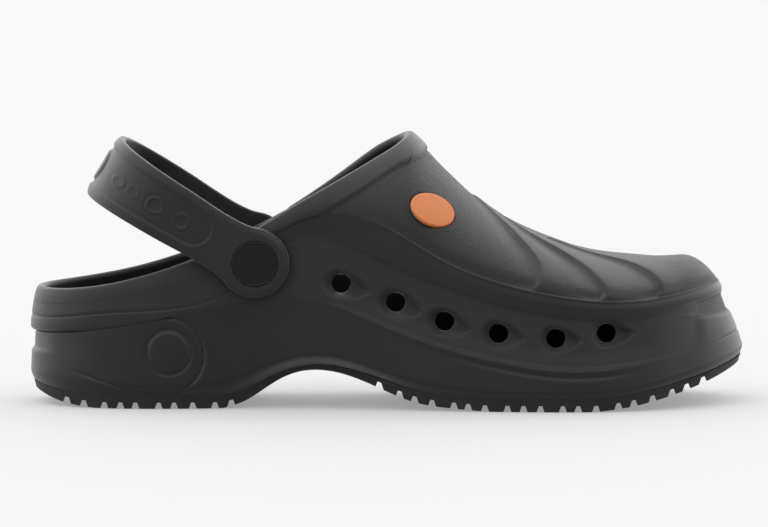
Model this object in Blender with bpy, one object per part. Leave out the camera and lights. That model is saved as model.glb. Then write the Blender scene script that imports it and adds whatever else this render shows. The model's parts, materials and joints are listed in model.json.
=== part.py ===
"""A moulded work clog for the right foot, with a vented side and a heel strap on two rivets.

The clog stands on its sole: +X points to the toe, +Y to the inner side of the foot and +Z up. The origin is
on the floor, below the middle of the clog. Sizes and tables are in millimetres. A station is a distance from
the back of the heel, and a height is measured from the floor.
"""

import math

import bmesh
import bpy
import numpy as np
from mathutils import Matrix, Vector

MM = 0.001
WELD = 0.005 * MM  # points nearer than this are joined
SLIVER = 0.001 * MM  # edges shorter than this are removed
SHARP_ANGLE = 35.0  # degrees from which an edge is shaded sharp

# Driving sizes
LENGTH = 288.0  # over the toe bumper and the heel, for a foot of about 267 mm
WALL = 3.4  # moulded foam of the upper and of the sole's side
GAP = 0.3  # left between pieces that touch
HEEL_CENTRE = 38.0  # station that the back of the heel curves round
THROAT = 153.0  # station of the front of the collar opening

OUTER_SIDE = -1  # sign of Y on the side of the little toe
INNER_SIDE = 1
SIDES = (OUTER_SIDE, INNER_SIDE)

# One row for each section of the sole's side and of the wall above it.
# centre and half_width give the widest outline, which runs at the flare height.
# low is the line where the upper meets the sole, panel the top of the vent panel, and ridge the feather line.
# foot_inset and ridge_inset say how far the lower edge and the ridge lie inside the widest outline.
# panel_step is how far the panel stands out (heel bead) or lies back (vent panel).
SECTION_COLUMNS = (
    "station", "centre", "half_width", "flare", "low", "panel", "ridge",
    "foot_inset", "ridge_inset", "panel_step", "floor",
)
SECTIONS = (
    (0, 0.0, 0.0, 13.5, 29.7, 35.5, 41.0, 1.2, 1.2, 0.7, 23.0),
    (14, 0.0, 28.6, 13.0, 31.0, 36.6, 41.6, 1.4, 1.2, 0.7, 22.4),
    (34, 0.0, 37.6, 11.5, 33.2, 39.0, 44.6, 1.8, 1.5, 0.6, 21.6),
    (58, -0.4, 39.4, 10.5, 37.6, 44.6, 50.4, 2.4, 2.0, 0.3, 21.6),
    (84, -1.2, 38.4, 14.5, 43.6, 55.0, 61.6, 6.0, 2.6, 0.0, 22.8),
    (106, -2.0, 38.2, 22.0, 46.0, 67.5, 75.0, 10.0, 3.2, -0.2, 24.6),
    (124, -2.3, 39.8, 22.5, 42.2, 69.0, 79.4, 9.5, 4.0, -1.2, 23.8),
    (144, -2.3, 43.0, 16.5, 34.0, 60.6, 73.4, 5.4, 4.4, -1.6, 20.4),
    (166, -2.2, 47.0, 11.5, 26.3, 51.8, 60.7, 3.0, 4.6, -1.6, 16.8),
    (192, -1.5, 51.2, 9.0, 20.2, 43.8, 51.0, 2.1, 4.8, -1.6, 14.0),
    (216, -0.4, 53.5, 8.5, 17.0, 39.6, 46.0, 1.9, 5.0, -1.6, 13.2),
    (240, 1.6, 52.3, 10.0, 18.2, 38.2, 44.0, 1.8, 5.6, -1.5, 14.2),
    (262, 4.6, 44.2, 14.5, 21.6, 40.6, 45.2, 1.6, 7.0, -1.2, 16.6),
    (279, 7.0, 28.6, 19.6, 26.0, 43.2, 47.6, 1.4, 8.6, -0.9, 19.4),
    (288, 8.0, 0.0, 22.5, 28.4, 44.3, 48.6, 1.2, 9.2, -0.8, 20.6),
)

# Collar edge, from the back of the heel to the front of the opening: height on the outer side, and how much
# higher the inner side is.
COLLAR_COLUMNS = ("station", "height", "inner_lift")
COLLAR = (
    (0, 46.4, 0.0),
    (20, 47.7, -0.3),
    (46, 52.8, -1.0),
    (72, 62.0, -2.0),
    (94, 73.0, -4.6),
    (110, 82.4, -4.6),
    (129, 93.4, -1.4),
    (140, 99.6, 1.0),
    (146.3, 103.0, 1.2),
    (THROAT, 108.5, 0.0),
)

# Dome of the upper: how far its middle line rises over the ridge, and how far the middle line lies to the
# inner side. Behind the throat only the part below the collar edge is there.
DOME_COLUMNS = ("station", "rise", "middle")
DOME = (
    (0, 25.0, 0.0), (46, 25.0, 0.0), (72, 25.0, 0.0), (94, 23.5, 0.6), (110, 22.0, 1.6), (129, 26.5, 3.0),
    (141, 33.2, 3.6), (147, 37.4, 3.9), (THROAT, 39.9, 4.0), (162, 36.8, 3.8), (174, 31.0, 3.4),
    (187, 25.2, 2.8), (200, 21.0, 2.4), (213, 18.5, 2.2), (226, 16.3, 2.4), (245, 14.2, 3.6),
    (262, 12.6, 5.6), (277.6, 11.6, 8.0),
)
SHOULDER = 1.15  # over 1 flattens the flank of the vamp
TOE_CAP = 15.5  # length of the rounded front of the toe box

# Rows of the upper, given as shares of the way from the ridge to the collar edge or the crown
VAMP_SHARES = (0.05, 0.18, 0.34, 0.5, 0.66, 0.83, 1.0)
LINING_SHARES = (1.0, 0.86, 0.72, 0.5, 0.25, 0.0)
# Rows of the vent panel: share of the way from low to panel, and share of the panel's step
PANEL_ROWS = ((0.0, 0.0), (0.1, 1.0), (0.5, 1.0), (0.9, 1.0), (1.0, 0.0))
PANEL_LIP = 0.5  # how far the lip between vent panel and ridge stands out

# Raised band round the front of the collar: station and width of the band
BAND_WIDTHS = ((88, 6.0), (105, 6.9), (125, 8.6), (THROAT, 9.4))
BAND_PROUD = 0.9
BAND_EDGE = 1.2  # width of the band's sloping edge
BAND_START = (88.0, 112.0)  # stations between which the band grows out of the wall
BAND_RUN = 0.7  # share of the band's width that shows in plan, where the vamp is steep

# Underside, down the middle of the foot: height of the tread and thickness of the outsole.
GROUND_COLUMNS = ("station", "height", "thickness")
GROUND = (
    (0, 7.2, 2.4), (7, 3.9, 4.0), (15, 1.5, 5.0), (27, 0.0, 5.6), (78, 0.0, 5.6), (88, 3.3, 5.2),
    (97, 9.0, 4.0), (106, 13.6, 2.8), (116, 15.2, 2.6), (128, 13.4, 2.8), (141, 8.6, 4.2),
    (154, 3.6, 5.4), (170, 1.1, 5.6), (186, 0.0, 5.6), (228, 0.0, 5.6), (245, 2.2, 5.2),
    (262, 6.4, 4.6), (276, 11.2, 3.6), (288, 16.4, 2.4),
)

# Grooves across the tread: stations of the heel's and of the forefoot's.
HEEL_GROOVES = (15.1, 22.0, 30.3, 36.8, 42.9, 52.3, 58.5, 66.0, 75.0, 81.5)
FOREFOOT_GROOVES = (
    141.4, 149.6, 155.6, 162.6, 171.4, 177.1, 183.9, 192.9, 199.4, 206.2, 215.2, 221.4, 228.6, 237.6,
    243.8, 251.4, 259.3, 265.3, 272.0,
)
OUTSOLE_INSET = 0.2  # how far the outsole's top edge lies inside the sole's lower edge
OUTSOLE_DRAFT = 1.0  # how much narrower it is at the tread
CLEAR = 1.0  # how far the groove cutters reach below the tread
GROOVE_HALF_LENGTH = 70.0  # more than the tread's half width
GROOVE_DEPTH = 3.2
GROOVE_MOUTH = 3.2  # width at the tread face
GROOVE_ROOT = 1.7
SPLIT_WIDTH = 4.0  # lengthwise groove between the inner and outer lugs
SPLIT_DEPTH = 2.8
# Start and end station of each lengthwise groove
SPLITS = ((27.0, 79.0), (160.0, 250.0))

# Vents of each side: station and height of the middle of each hole.
VENTS = ((125.4, 50.9), (147.2, 43.6), (167.0, 36.2), (188.9, 31.5), (212.3, 29.6), (233.7, 31.6))
VENT_RADIUS = 3.85
INNER_VENT_LIFT = 1.6  # how much higher the vents lie over the arch of the foot
VENT_REACH = 9.0  # half the length of the cutter for a vent

# Side of the sole: it lies back above a step at the heel, and again under the vents.
HEEL_STEP = 1.0
HEEL_STEP_FADE = (15.0, 60.0)  # stations over which the heel's step dies out
HEEL_STEP_SHARE = 0.54  # height of the step on the way from flare to low
FRONT_STEP = 0.6
FRONT_STEP_RISE = (150.0, 210.0)  # stations over which the front step grows
FRONT_STEP_SHARE = 0.4
STEP_EDGE = 0.08  # share that the slope of a step takes
LIP_SHARE = 0.14  # share left for the lip under the upper
UNDERSIDE_SHARE = 0.4  # a point on the curve below the flare, on the way up,
UNDERSIDE_INSET = 0.3  # and the share of the foot's inset there
TRAY_INSET = 1.6  # how far the tray for the insole narrows to its floor
TRAY_BEND = (0.35, 0.4)  # share of the height, and inset, where the tray's wall bends

# Heel ornament: a round boss on each side of the sole.
BOSS_STATION = 56.3
BOSS_HEIGHT = 23.2
BOSS_RADIUS = 9.0
BOSS_PROUD = 0.9
BOSS_DOME = 0.3
BOSS_EDGE = 1.2
BOSS_ROOT = 2.5  # how far the boss reaches into the wall

# Heel strap, in its own plane: reach runs backwards from the rivets.
PIVOT_STATION = 91.1
PIVOT_HEIGHT = 59.3
STRAP_ANGLE = 31.0  # above the floor, in degrees
STRAP_THICKNESS = 3.6
STRAP_REACH = 72.4  # from the rivets to the outside of the back
STRAP_BEND = 32.0  # length of the rounded back
STRAP_FULLNESS = 0.82  # 1 makes the back an ellipse, and less fills out its corners
STRAP_EDGE = 0.9  # rounding of the band's edges
# Reach and half width of the strap
STRAP_WIDTHS = (
    (0, 14.0), (4, 13.6), (8, 12.3), (12, 11.6), (34, 11.8), (52, 12.4), (66, 13.0), (STRAP_REACH, 13.2),
)
STRAP_END_RADIUS = 14.0
STRAP_OFF_WALL = {OUTER_SIDE: 38.9, INNER_SIDE: 36.1}  # inner face of each strand, from the middle plane

# Rivets: a flat head let into the strap, a shank and a flange inside the upper.
RIVET_HEAD_RADIUS = 9.0
RIVET_HEAD_DEPTH = 1.8
RIVET_PROUD = 0.25
SHANK_RADIUS = 3.5
FLANGE_RADIUS = 6.5
FLANGE_THICKNESS = 1.4
RIVET_EDGE = 0.4
PIVOT_CUT = (25.0, 55.0)  # distances from the middle plane between which the rivets' holes are cut

# Oval badge on the outer side of the vamp.
BADGE_STATION = 162.0
BADGE_SHARE = 0.36  # of the way up from ridge to crown
BADGE_RADIUS = 9.5  # half its length
BADGE_OVAL = 0.82  # height over length
BADGE_TURN = -22.0  # degrees by which its front end dips
BADGE_THICKNESS = 2.2
BADGE_SEAT = 1.5  # depth of its seat below the middle of the surface
BADGE_EDGE = 0.5
BADGE_DOME = 0.45

INSOLE_THICKNESS = 4.0
INSOLE_EDGE = 0.7  # share of the thickness that shows at its edge
INSOLE_DISH = 1.6  # how far the middle lies below the rim
INSOLE_DISH_WIDTH = 40.0  # where the insole is narrower than this, the dish grows shallower
INSOLE_LANES = (0.0, 0.25, 0.75, 1.0)  # shares of the way across it

# Mesh density
REAR_STEPS = 20  # sections from heel to throat, on each side
FRONT_STEPS = 20  # sections from throat to toe
ROUND_SIDES = 24
VENT_SIDES = 12
STRAP_STEPS = 30  # along each half of the strap
STRAP_END_STEPS = 8  # round its end
SPLIT_STEPS = 12  # along each lengthwise groove
EDGE_STEPS = 3  # round the collar's edge

BLACK_FOAM = (0.022, 0.022, 0.024)
BLACK_RUBBER = (0.016, 0.016, 0.017)
ORANGE = (0.78, 0.25, 0.05)


# Smooth tables

def spline(knots, values, at, flat_ends=False):
    """Natural cubic spline through a table, or one whose ends are level."""
    knots = np.asarray(knots, float)
    values = np.asarray(values, float)
    count = len(knots)
    step = np.diff(knots)
    slope = np.diff(values) / step
    matrix = np.eye(count)
    right = np.zeros(count)
    for i in range(1, count - 1):
        matrix[i, i - 1:i + 2] = step[i - 1], 2 * (step[i - 1] + step[i]), step[i]
        right[i] = 6 * (slope[i] - slope[i - 1])
    if flat_ends:
        matrix[0, :2] = 2 * step[0], step[0]
        right[0] = 6 * slope[0]
        matrix[-1, -2:] = step[-1], 2 * step[-1]
        right[-1] = -6 * slope[-1]
    bend = np.linalg.solve(matrix, right)
    at = np.clip(np.asarray(at, float), knots[0], knots[-1])
    i = np.clip(np.searchsorted(knots, at) - 1, 0, count - 2)
    before = at - knots[i]
    after = knots[i + 1] - at
    return (
        (bend[i] * after**3 + bend[i + 1] * before**3) / (6 * step[i])
        + (values[i] / step[i] - bend[i] * step[i] / 6) * after
        + (values[i + 1] / step[i] - bend[i + 1] * step[i] / 6) * before
    )


def round_angle(station, length):
    """Angle whose cosine gives the station, so that both ends of an outline come out round."""
    return np.arccos(np.clip(1 - 2 * np.asarray(station, float) / length, -1, 1))


def column(table, columns, name):
    return np.array([row[columns.index(name)] for row in table], float)


def section(name, station):
    """A column of SECTIONS at any station."""
    knots = round_angle(column(SECTIONS, SECTION_COLUMNS, "station"), LENGTH)
    values = column(SECTIONS, SECTION_COLUMNS, name)
    return spline(knots, values, round_angle(station, LENGTH), flat_ends=name != "half_width")


def collar(name, station):
    knots = round_angle(column(COLLAR, COLLAR_COLUMNS, "station"), THROAT)
    values = column(COLLAR, COLLAR_COLUMNS, name)
    return spline(knots, values, round_angle(station, THROAT), flat_ends=True)


def dome(name, station):
    return spline(column(DOME, DOME_COLUMNS, "station"), column(DOME, DOME_COLUMNS, name), station)


def ground(name, station):
    values = column(GROUND, GROUND_COLUMNS, name)
    found = spline(column(GROUND, GROUND_COLUMNS, "station"), values, station)
    return np.clip(found, 0, None)


# The last: points of the clog's skin

def outline(station, side, inset):
    """Plan points that lie inset within the widest outline, square to it."""
    tiny = 1e-4
    angle = np.clip(round_angle(station, LENGTH), tiny, math.pi - tiny)

    def plan(at):
        along = LENGTH / 2 * (1 - np.cos(at))
        return np.stack([along, section("centre", along) + side * section("half_width", along)], -1)

    tangent = plan(angle + tiny / 2) - plan(angle - tiny / 2)
    tangent /= np.linalg.norm(tangent, axis=-1, keepdims=True)
    outward = side * np.stack([-tangent[..., 1], tangent[..., 0]], -1)
    return plan(angle) - outward * np.asarray(inset, float)[..., None]


def wall(station, side, height, inset):
    """Points of the side wall at that height; inset is measured from the plain wall, inwards."""
    flare = section("flare", station)
    share = (height - flare) / (section("ridge", station) - flare)
    lean = section("ridge_inset", station) * np.clip(share, 0, 1)
    plan = outline(station, side, lean + inset)
    return np.concatenate([plan, np.broadcast_to(height, station.shape)[..., None]], -1)


def dome_rise(along, inset):
    """Rise of the dome's middle line over the ridge. The toe end is rounded."""
    tip = outline(np.array([LENGTH]), OUTER_SIDE, section("ridge_inset", np.array([LENGTH])) + inset)[0, 0]
    share = np.clip((along - tip + TOE_CAP) / TOE_CAP, 0, 1)
    return (dome("rise", along) - inset) * (1 - share**2)


def edge_angle(station, side):
    """Angle up the dome at which the collar edge cuts it; a right angle where the dome is closed."""
    height = collar("height", station) + (side == INNER_SIDE) * collar("inner_lift", station)
    share = (height - section("ridge", station)) / dome("rise", station)
    return np.where(station < THROAT, np.arcsin(np.clip(share, 0, 1) ** (1 / SHOULDER)), np.pi / 2)


def over(station, side, share, inset):
    """Points of the upper between the ridge (share 0) and the collar edge or the crown (share 1)."""
    ridge = wall(station, side, section("ridge", station) - 0.25 * inset, inset)
    along = (ridge[:, 0] + wall(station, -side, ridge[:, 2], inset)[:, 0]) / 2
    middle = np.stack([np.maximum(along, HEEL_CENTRE), dome("middle", along)], -1)
    angle = share * edge_angle(station, side)
    plan = ridge[:, :2] + (1 - np.cos(angle))[:, None] * (middle - ridge[:, :2])
    height = ridge[:, 2] + dome_rise(along, inset) * np.sin(angle) ** SHOULDER
    return np.concatenate([plan, height[:, None]], -1)


def smooth_share(value, start, end):
    """0 before start, 1 after end, and a soft climb between them."""
    share = np.clip((value - start) / (end - start), 0, 1)
    return share * share * (3 - 2 * share)


def stations():
    """Sections from heel to toe, closer together at the heel, the throat, the band's edge and the toe."""
    rear = THROAT / 2 * (1 - np.cos(np.pi * np.arange(REAR_STEPS) / REAR_STEPS))
    front = THROAT + (LENGTH - THROAT) * np.sin(np.pi / 2 * np.arange(FRONT_STEPS + 1) / FRONT_STEPS)
    front_width = BAND_WIDTHS[-1][1]
    band = THROAT + BAND_RUN * front_width + np.array([-BAND_RUN * BAND_EDGE, 0.0])
    return np.sort(np.concatenate([rear, front, band]))


def collar_loop(at, inset):
    """Closed row of points on the collar's edge: outer side, front of the opening, inner side."""
    rear = at[at <= THROAT]
    outer, inner = (over(rear, side, np.ones(len(rear)), inset) for side in SIDES)
    return np.concatenate([outer, inner[-2:0:-1]])


def banded(at, side, share):
    """Outside of the upper above the ridge, with the raised band along the collar."""
    skin = over(at, side, share, 0.0)
    facing = skin - over(at, side, share, WALL)
    facing /= np.linalg.norm(facing, axis=-1, keepdims=True)
    edge = collar_loop(stations(), 0.0)
    away = np.linalg.norm(skin[:, None] - edge[None], axis=-1).min(axis=1)
    width = np.interp(at, *zip(*BAND_WIDTHS))
    proud = BAND_PROUD * smooth_share(at, *BAND_START) * smooth_share(width - away, 0.0, BAND_EDGE)
    return skin + facing * proud[:, None]


def rolled_edge(outer, inner, rounds):
    """Rows of a round edge between two closed loops, from the outer to the inner one."""
    along = np.roll(outer, -1, axis=0) - np.roll(outer, 1, axis=0)
    across = (outer - inner) / 2
    away = np.cross(across, along)
    away *= np.linalg.norm(across, axis=1, keepdims=True) / np.linalg.norm(away, axis=1, keepdims=True)
    turns = np.pi * np.arange(rounds + 1) / rounds
    return [(outer + inner) / 2 + across * math.cos(turn) + away * math.sin(turn) for turn in turns]


def ring(points_of_side):
    """One closed row of points: heel to toe along the outer side, and back along the inner side."""
    there = points_of_side(OUTER_SIDE)
    back = points_of_side(INNER_SIDE)
    return np.concatenate([there, back[-2:0:-1]])


# Meshes

def to_frame(points):
    """Table millimetres to metres, with the origin below the middle of the clog."""
    return (np.asarray(points, float) - [LENGTH / 2, 0, 0]) * MM


def material(name, colour, roughness):
    made = bpy.data.materials.new(name)
    made.use_nodes = True
    shader = made.node_tree.nodes["Principled BSDF"]
    shader.inputs["Base Color"].default_value = (*colour, 1)
    shader.inputs["Roughness"].default_value = roughness
    shader.inputs["Metallic"].default_value = 0
    return made


def add_object(name, mesh, finish=None):
    made = bpy.data.objects.new(name, mesh)
    bpy.context.scene.collection.objects.link(made)
    if finish is None:
        made.hide_render = True
        made.display_type = "WIRE"
    else:
        mesh.materials.append(finish)
    return made


def mesh_of(name, points, faces):
    """A closed mesh in metres, with doubled points joined and faces turned out."""
    mesh = bpy.data.meshes.new(name)
    mesh.from_pydata([tuple(p) for p in to_frame(points)], [], [tuple(f) for f in faces])
    work = bmesh.new()
    work.from_mesh(mesh)
    bmesh.ops.remove_doubles(work, verts=work.verts, dist=WELD)
    bmesh.ops.dissolve_degenerate(work, dist=SLIVER, edges=work.edges)
    bmesh.ops.triangulate(work, faces=work.faces)
    bmesh.ops.recalc_face_normals(work, faces=work.faces)
    work.to_mesh(mesh)
    work.free()
    mesh.shade_smooth()
    mesh.set_sharp_from_angle(angle=math.radians(SHARP_ANGLE))
    return mesh


def rows_to_faces(first, count, rows):
    """Quads between successive rings of count points, the first ring starting at index first."""
    faces = []
    for row in range(rows - 1):
        for i in range(count):
            after = (i + 1) % count
            base = first + row * count
            faces.append((base + i, base + after, base + count + after, base + count + i))
    return faces


def ladder(first, count):
    """Faces across a ring, from its outer side to its inner side."""
    half = count // 2
    faces = []
    for i in range(half):
        left = first + i, first + i + 1
        right = first + (count - i - 1) % count, first + (count - i) % count
        faces.append((left[0], left[1], right[0], right[1]))
    return faces


def cut(target, cutter, operation="DIFFERENCE"):
    made = target.modifiers.new(cutter.name, "BOOLEAN")
    made.object = cutter
    made.operation = operation
    made.solver = "EXACT"


def turned(profile, centre, axis, sides, oval=1.0, turn=0.0):
    """Points and faces of a solid turned about an axis; profile rows are (along the axis, radius).

    Where oval is under 1 the solid is lower than long, and turn swings its long axis, in degrees.
    """
    axis = Vector(axis).normalized()
    frame = axis.to_track_quat("Z", "X").to_matrix() @ Matrix.Rotation(math.radians(turn), 3, "Z")
    points = []
    for along, radius in profile:
        for k in range(sides):
            angle = 2 * math.pi * k / sides
            local = Vector((oval * radius * math.cos(angle), radius * math.sin(angle), along))
            points.append(tuple(Vector(centre) + frame @ local))
    rows = len(profile)
    faces = rows_to_faces(0, sides, rows)
    faces.append(tuple(range(sides)))
    faces.append(tuple((rows - 1) * sides + k for k in range(sides)))
    return points, faces


def joined(shapes):
    """Several closed shapes as one list of points and one of faces."""
    points = []
    faces = []
    for shape_points, shape_faces in shapes:
        start = len(points)
        points += list(shape_points)
        faces += [tuple(start + i for i in face) for face in shape_faces]
    return points, faces


# Pieces

def make_upper(finish):
    """Hollow foam shell from the sole's edge up to the collar and over the vamp, open underneath."""
    at = stations()
    low = section("low", at) + GAP
    panel = section("panel", at)
    ridge = section("ridge", at)
    step = section("panel_step", at)
    outside = [
        ring(lambda side: wall(at, side, low + up * (panel - low), -share * step))
        for up, share in PANEL_ROWS
    ]
    lip = PANEL_LIP * np.clip(-step, 0, 1)
    outside.append(ring(lambda side: wall(at, side, (panel + ridge) / 2, -lip)))
    outside.append(ring(lambda side: wall(at, side, ridge, 0 * at)))
    outside += [ring(lambda side: banded(at, side, share)) for share in VAMP_SHARES]
    inside = [ring(lambda side: over(at, side, share, WALL)) for share in LINING_SHARES]
    inside += [
        ring(lambda side: wall(at, side, low + up * (panel - low), WALL + 0 * at)) for up in (1.0, 0.5, 0.0)
    ]
    count = len(outside[0])
    points = np.concatenate(outside + inside)
    faces = rows_to_faces(0, count, len(outside))
    start = len(outside) * count
    faces += rows_to_faces(start, count, len(inside))
    bottom_inner = start + (len(inside) - 1) * count
    faces += [
        (bottom_inner + i, bottom_inner + (i + 1) % count, (i + 1) % count, i) for i in range(count)
    ]
    rear = np.sum(at <= THROAT)
    edge = np.concatenate([np.arange(rear), np.arange(count - rear + 2, count)])
    edge = rolled_edge(outside[-1][edge], inside[0][edge], EDGE_STEPS)
    faces += rows_to_faces(len(points), len(edge[0]), len(edge))
    points = np.concatenate([points] + edge)
    upper = add_object("upper", mesh_of("upper", points, faces), finish)
    cut(upper, vent_cutter())
    cut(upper, pivot_cutter("rivet_holes", SHANK_RADIUS + GAP))
    cut(upper, badge_seat())
    return upper


def vent_cutter():
    shapes = []
    for side in SIDES:
        lift = INNER_VENT_LIFT if side == INNER_SIDE else 0.0
        for station, height in VENTS:
            middle = wall(np.array([station]), side, np.array([height + lift]), np.array([WALL / 2]))[0]
            profile = ((-VENT_REACH, VENT_RADIUS), (VENT_REACH, VENT_RADIUS))
            shapes.append(turned(profile, middle, (0, side, 0), VENT_SIDES))
    return add_object("vent_cutter", mesh_of("vent_cutter", *joined(shapes)))


def pivot(side, distance):
    """A point on the rivets' common axis, at that distance from the middle plane."""
    return (PIVOT_STATION, side * distance, PIVOT_HEIGHT)


def pivot_cutter(name, radius):
    profile = [(distance, radius) for distance in PIVOT_CUT]
    shapes = [turned(profile, pivot(side, 0), (0, side, 0), ROUND_SIDES) for side in SIDES]
    return add_object(name, mesh_of(name, *joined(shapes)))


def badge_frame():
    """Middle of the badge on the vamp, and the direction that it faces."""
    def point(station, share):
        return over(np.array([station]), OUTER_SIDE, np.array([share]), 0.0)[0]

    middle = point(BADGE_STATION, BADGE_SHARE)
    along = point(BADGE_STATION + 1, BADGE_SHARE) - point(BADGE_STATION - 1, BADGE_SHARE)
    up = point(BADGE_STATION, BADGE_SHARE + 0.02) - point(BADGE_STATION, BADGE_SHARE - 0.02)
    facing = Vector(np.cross(along, up)).normalized()
    if facing.y * OUTER_SIDE < 0:
        facing.negate()
    return Vector(middle), facing


def badge_seat():
    middle, facing = badge_frame()
    radius = BADGE_RADIUS + GAP
    profile = ((-BADGE_SEAT, radius), (4 * BADGE_SEAT, radius))
    oval = (BADGE_OVAL * BADGE_RADIUS + GAP) / radius
    shape = turned(profile, middle, facing, ROUND_SIDES, oval, BADGE_TURN)
    return add_object("badge_seat", mesh_of("badge_seat", *shape))


def make_badge(finish):
    """Plain oval button, with a domed face, in its seat on the vamp."""
    middle, facing = badge_frame()
    back = -BADGE_SEAT + GAP
    front = back + BADGE_THICKNESS
    profile = (
        (back, BADGE_RADIUS - BADGE_EDGE), (back + BADGE_EDGE, BADGE_RADIUS),
        (front - BADGE_EDGE, BADGE_RADIUS), (front, BADGE_RADIUS - BADGE_EDGE),
        (front + 0.7 * BADGE_DOME, 0.55 * BADGE_RADIUS), (front + BADGE_DOME, 0.1 * BADGE_RADIUS),
    )
    shape = turned(profile, middle, facing, ROUND_SIDES, BADGE_OVAL, BADGE_TURN)
    add_object("badge", mesh_of("badge", *shape), finish)


def make_sole(finish):
    """Foam sole: thick under the foot, with a rim that carries the upper, a stepped heel and an arch."""
    at = stations()
    flare = section("flare", at)
    low = section("low", at)
    foot = ground("height", at) + ground("thickness", at)
    foot_inset = section("foot_inset", at)
    heel = 1 - smooth_share(at, *HEEL_STEP_FADE)
    front = smooth_share(at, *FRONT_STEP_RISE)
    step = HEEL_STEP * heel + FRONT_STEP * front
    step_share = HEEL_STEP_SHARE * heel + FRONT_STEP_SHARE * (1 - heel)
    bend_share, bend_inset = TRAY_BEND
    floor = section("floor", at)
    side_rows = (  # height and inset of each row of the side, from the tread up
        (foot, foot_inset),
        (foot + UNDERSIDE_SHARE * (flare - foot), UNDERSIDE_INSET * foot_inset),
        (flare, 0 * at),
        (flare + step_share * (low - flare), 0 * at),
        (flare + (step_share + STEP_EDGE) * (low - flare), step),
        (low - LIP_SHARE * (low - flare), step),
        (low, 0 * at),
    )
    tray_rows = (
        (low, WALL + 0 * at),
        (floor + bend_share * (low - floor), WALL + bend_inset + 0 * at),
        (floor, WALL + TRAY_INSET + 0 * at),
    )
    outside = [ring(lambda side: wall(at, side, height, inset)) for height, inset in side_rows]
    inside = [ring(lambda side: wall(at, side, height, inset)) for height, inset in tray_rows]
    count = len(outside[0])
    points = np.concatenate(outside + inside)
    rows = len(outside) + len(inside)
    faces = rows_to_faces(0, count, rows) + ladder(0, count) + ladder((rows - 1) * count, count)
    sole = add_object("sole", mesh_of("sole", points, faces), finish)
    cut(sole, heel_bosses(), "UNION")


def heel_bosses():
    shapes = []
    for side in SIDES:
        middle = wall(np.array([BOSS_STATION]), side, np.array([BOSS_HEIGHT]), np.array([0.0]))[0]
        profile = (
            (-BOSS_ROOT, BOSS_RADIUS), (BOSS_PROUD * 0.5, BOSS_RADIUS), (BOSS_PROUD, BOSS_RADIUS - BOSS_EDGE),
            (BOSS_PROUD + BOSS_DOME, BOSS_RADIUS * 0.5),
        )
        shapes.append(turned(profile, middle, (0, side, 0), ROUND_SIDES))
    return add_object("heel_bosses", mesh_of("heel_bosses", *joined(shapes)))


def make_outsole(finish):
    """Rubber tread below the sole, with grooves between its lugs."""
    at = stations()
    bottom = ground("height", at)
    top = bottom + ground("thickness", at) - GAP
    inset = section("foot_inset", at)
    rows = [
        ring(lambda side: wall(at, side, top, inset + OUTSOLE_INSET)),
        ring(lambda side: wall(at, side, bottom, inset + OUTSOLE_INSET + OUTSOLE_DRAFT)),
    ]
    count = len(rows[0])
    faces = rows_to_faces(0, count, 2) + ladder(0, count) + ladder(count, count)
    outsole = add_object("outsole", mesh_of("outsole", np.concatenate(rows), faces), finish)
    cut(outsole, groove_cutter())
    cut(outsole, split_cutter())
    return outsole


def prism(corners, axis, start, end):
    """A solid with the same outline all along one axis; corners are given in the other two axes."""
    count = len(corners)
    points = [np.insert(corner, axis, value) for value in (start, end) for corner in corners]
    faces = rows_to_faces(0, count, 2)
    faces += [tuple(range(count)), tuple(count + k for k in range(count))]
    return points, faces


def split_cutter():
    """Lengthwise grooves down the middle of the heel and of the forefoot."""
    shapes = []
    for start, end in SPLITS:
        at = np.linspace(start, end, SPLIT_STEPS)
        points = []
        for side, up in ((-1, -CLEAR), (1, -CLEAR), (1, SPLIT_DEPTH), (-1, SPLIT_DEPTH)):
            across = section("centre", at) + side * SPLIT_WIDTH / 2
            points.append(np.stack([at, across, ground("height", at) + up], -1))
        points = np.stack(points, 1).reshape(-1, 3)
        faces = rows_to_faces(0, 4, len(at))
        faces += [(0, 1, 2, 3), tuple(len(points) - 4 + k for k in range(4))]
        shapes.append((points, faces))
    return add_object("split_cutter", mesh_of("split_cutter", *joined(shapes)))


def groove_cutter():
    """Grooves across the tread, square to its rolling line."""
    mouth = GROOVE_MOUTH / 2
    root = GROOVE_ROOT / 2
    spread = mouth + CLEAR * (mouth - root) / GROOVE_DEPTH
    shapes = []
    for station in HEEL_GROOVES + FOREFOOT_GROOVES:
        base, behind, ahead = ground("height", np.array([station, station - mouth, station + mouth]))
        slope = (ahead - behind) / GROOVE_MOUTH
        run = np.array([1, slope]) / math.hypot(1, slope)
        rise = np.array([-run[1], run[0]])
        start = np.array([station, base])
        corners = [
            start - spread * run - CLEAR * rise, start + spread * run - CLEAR * rise,
            start + root * run + GROOVE_DEPTH * rise, start - root * run + GROOVE_DEPTH * rise,
        ]
        shapes.append(prism(corners, 1, -GROOVE_HALF_LENGTH, GROOVE_HALF_LENGTH))
    return add_object("groove_cutter", mesh_of("groove_cutter", *joined(shapes)))


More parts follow.
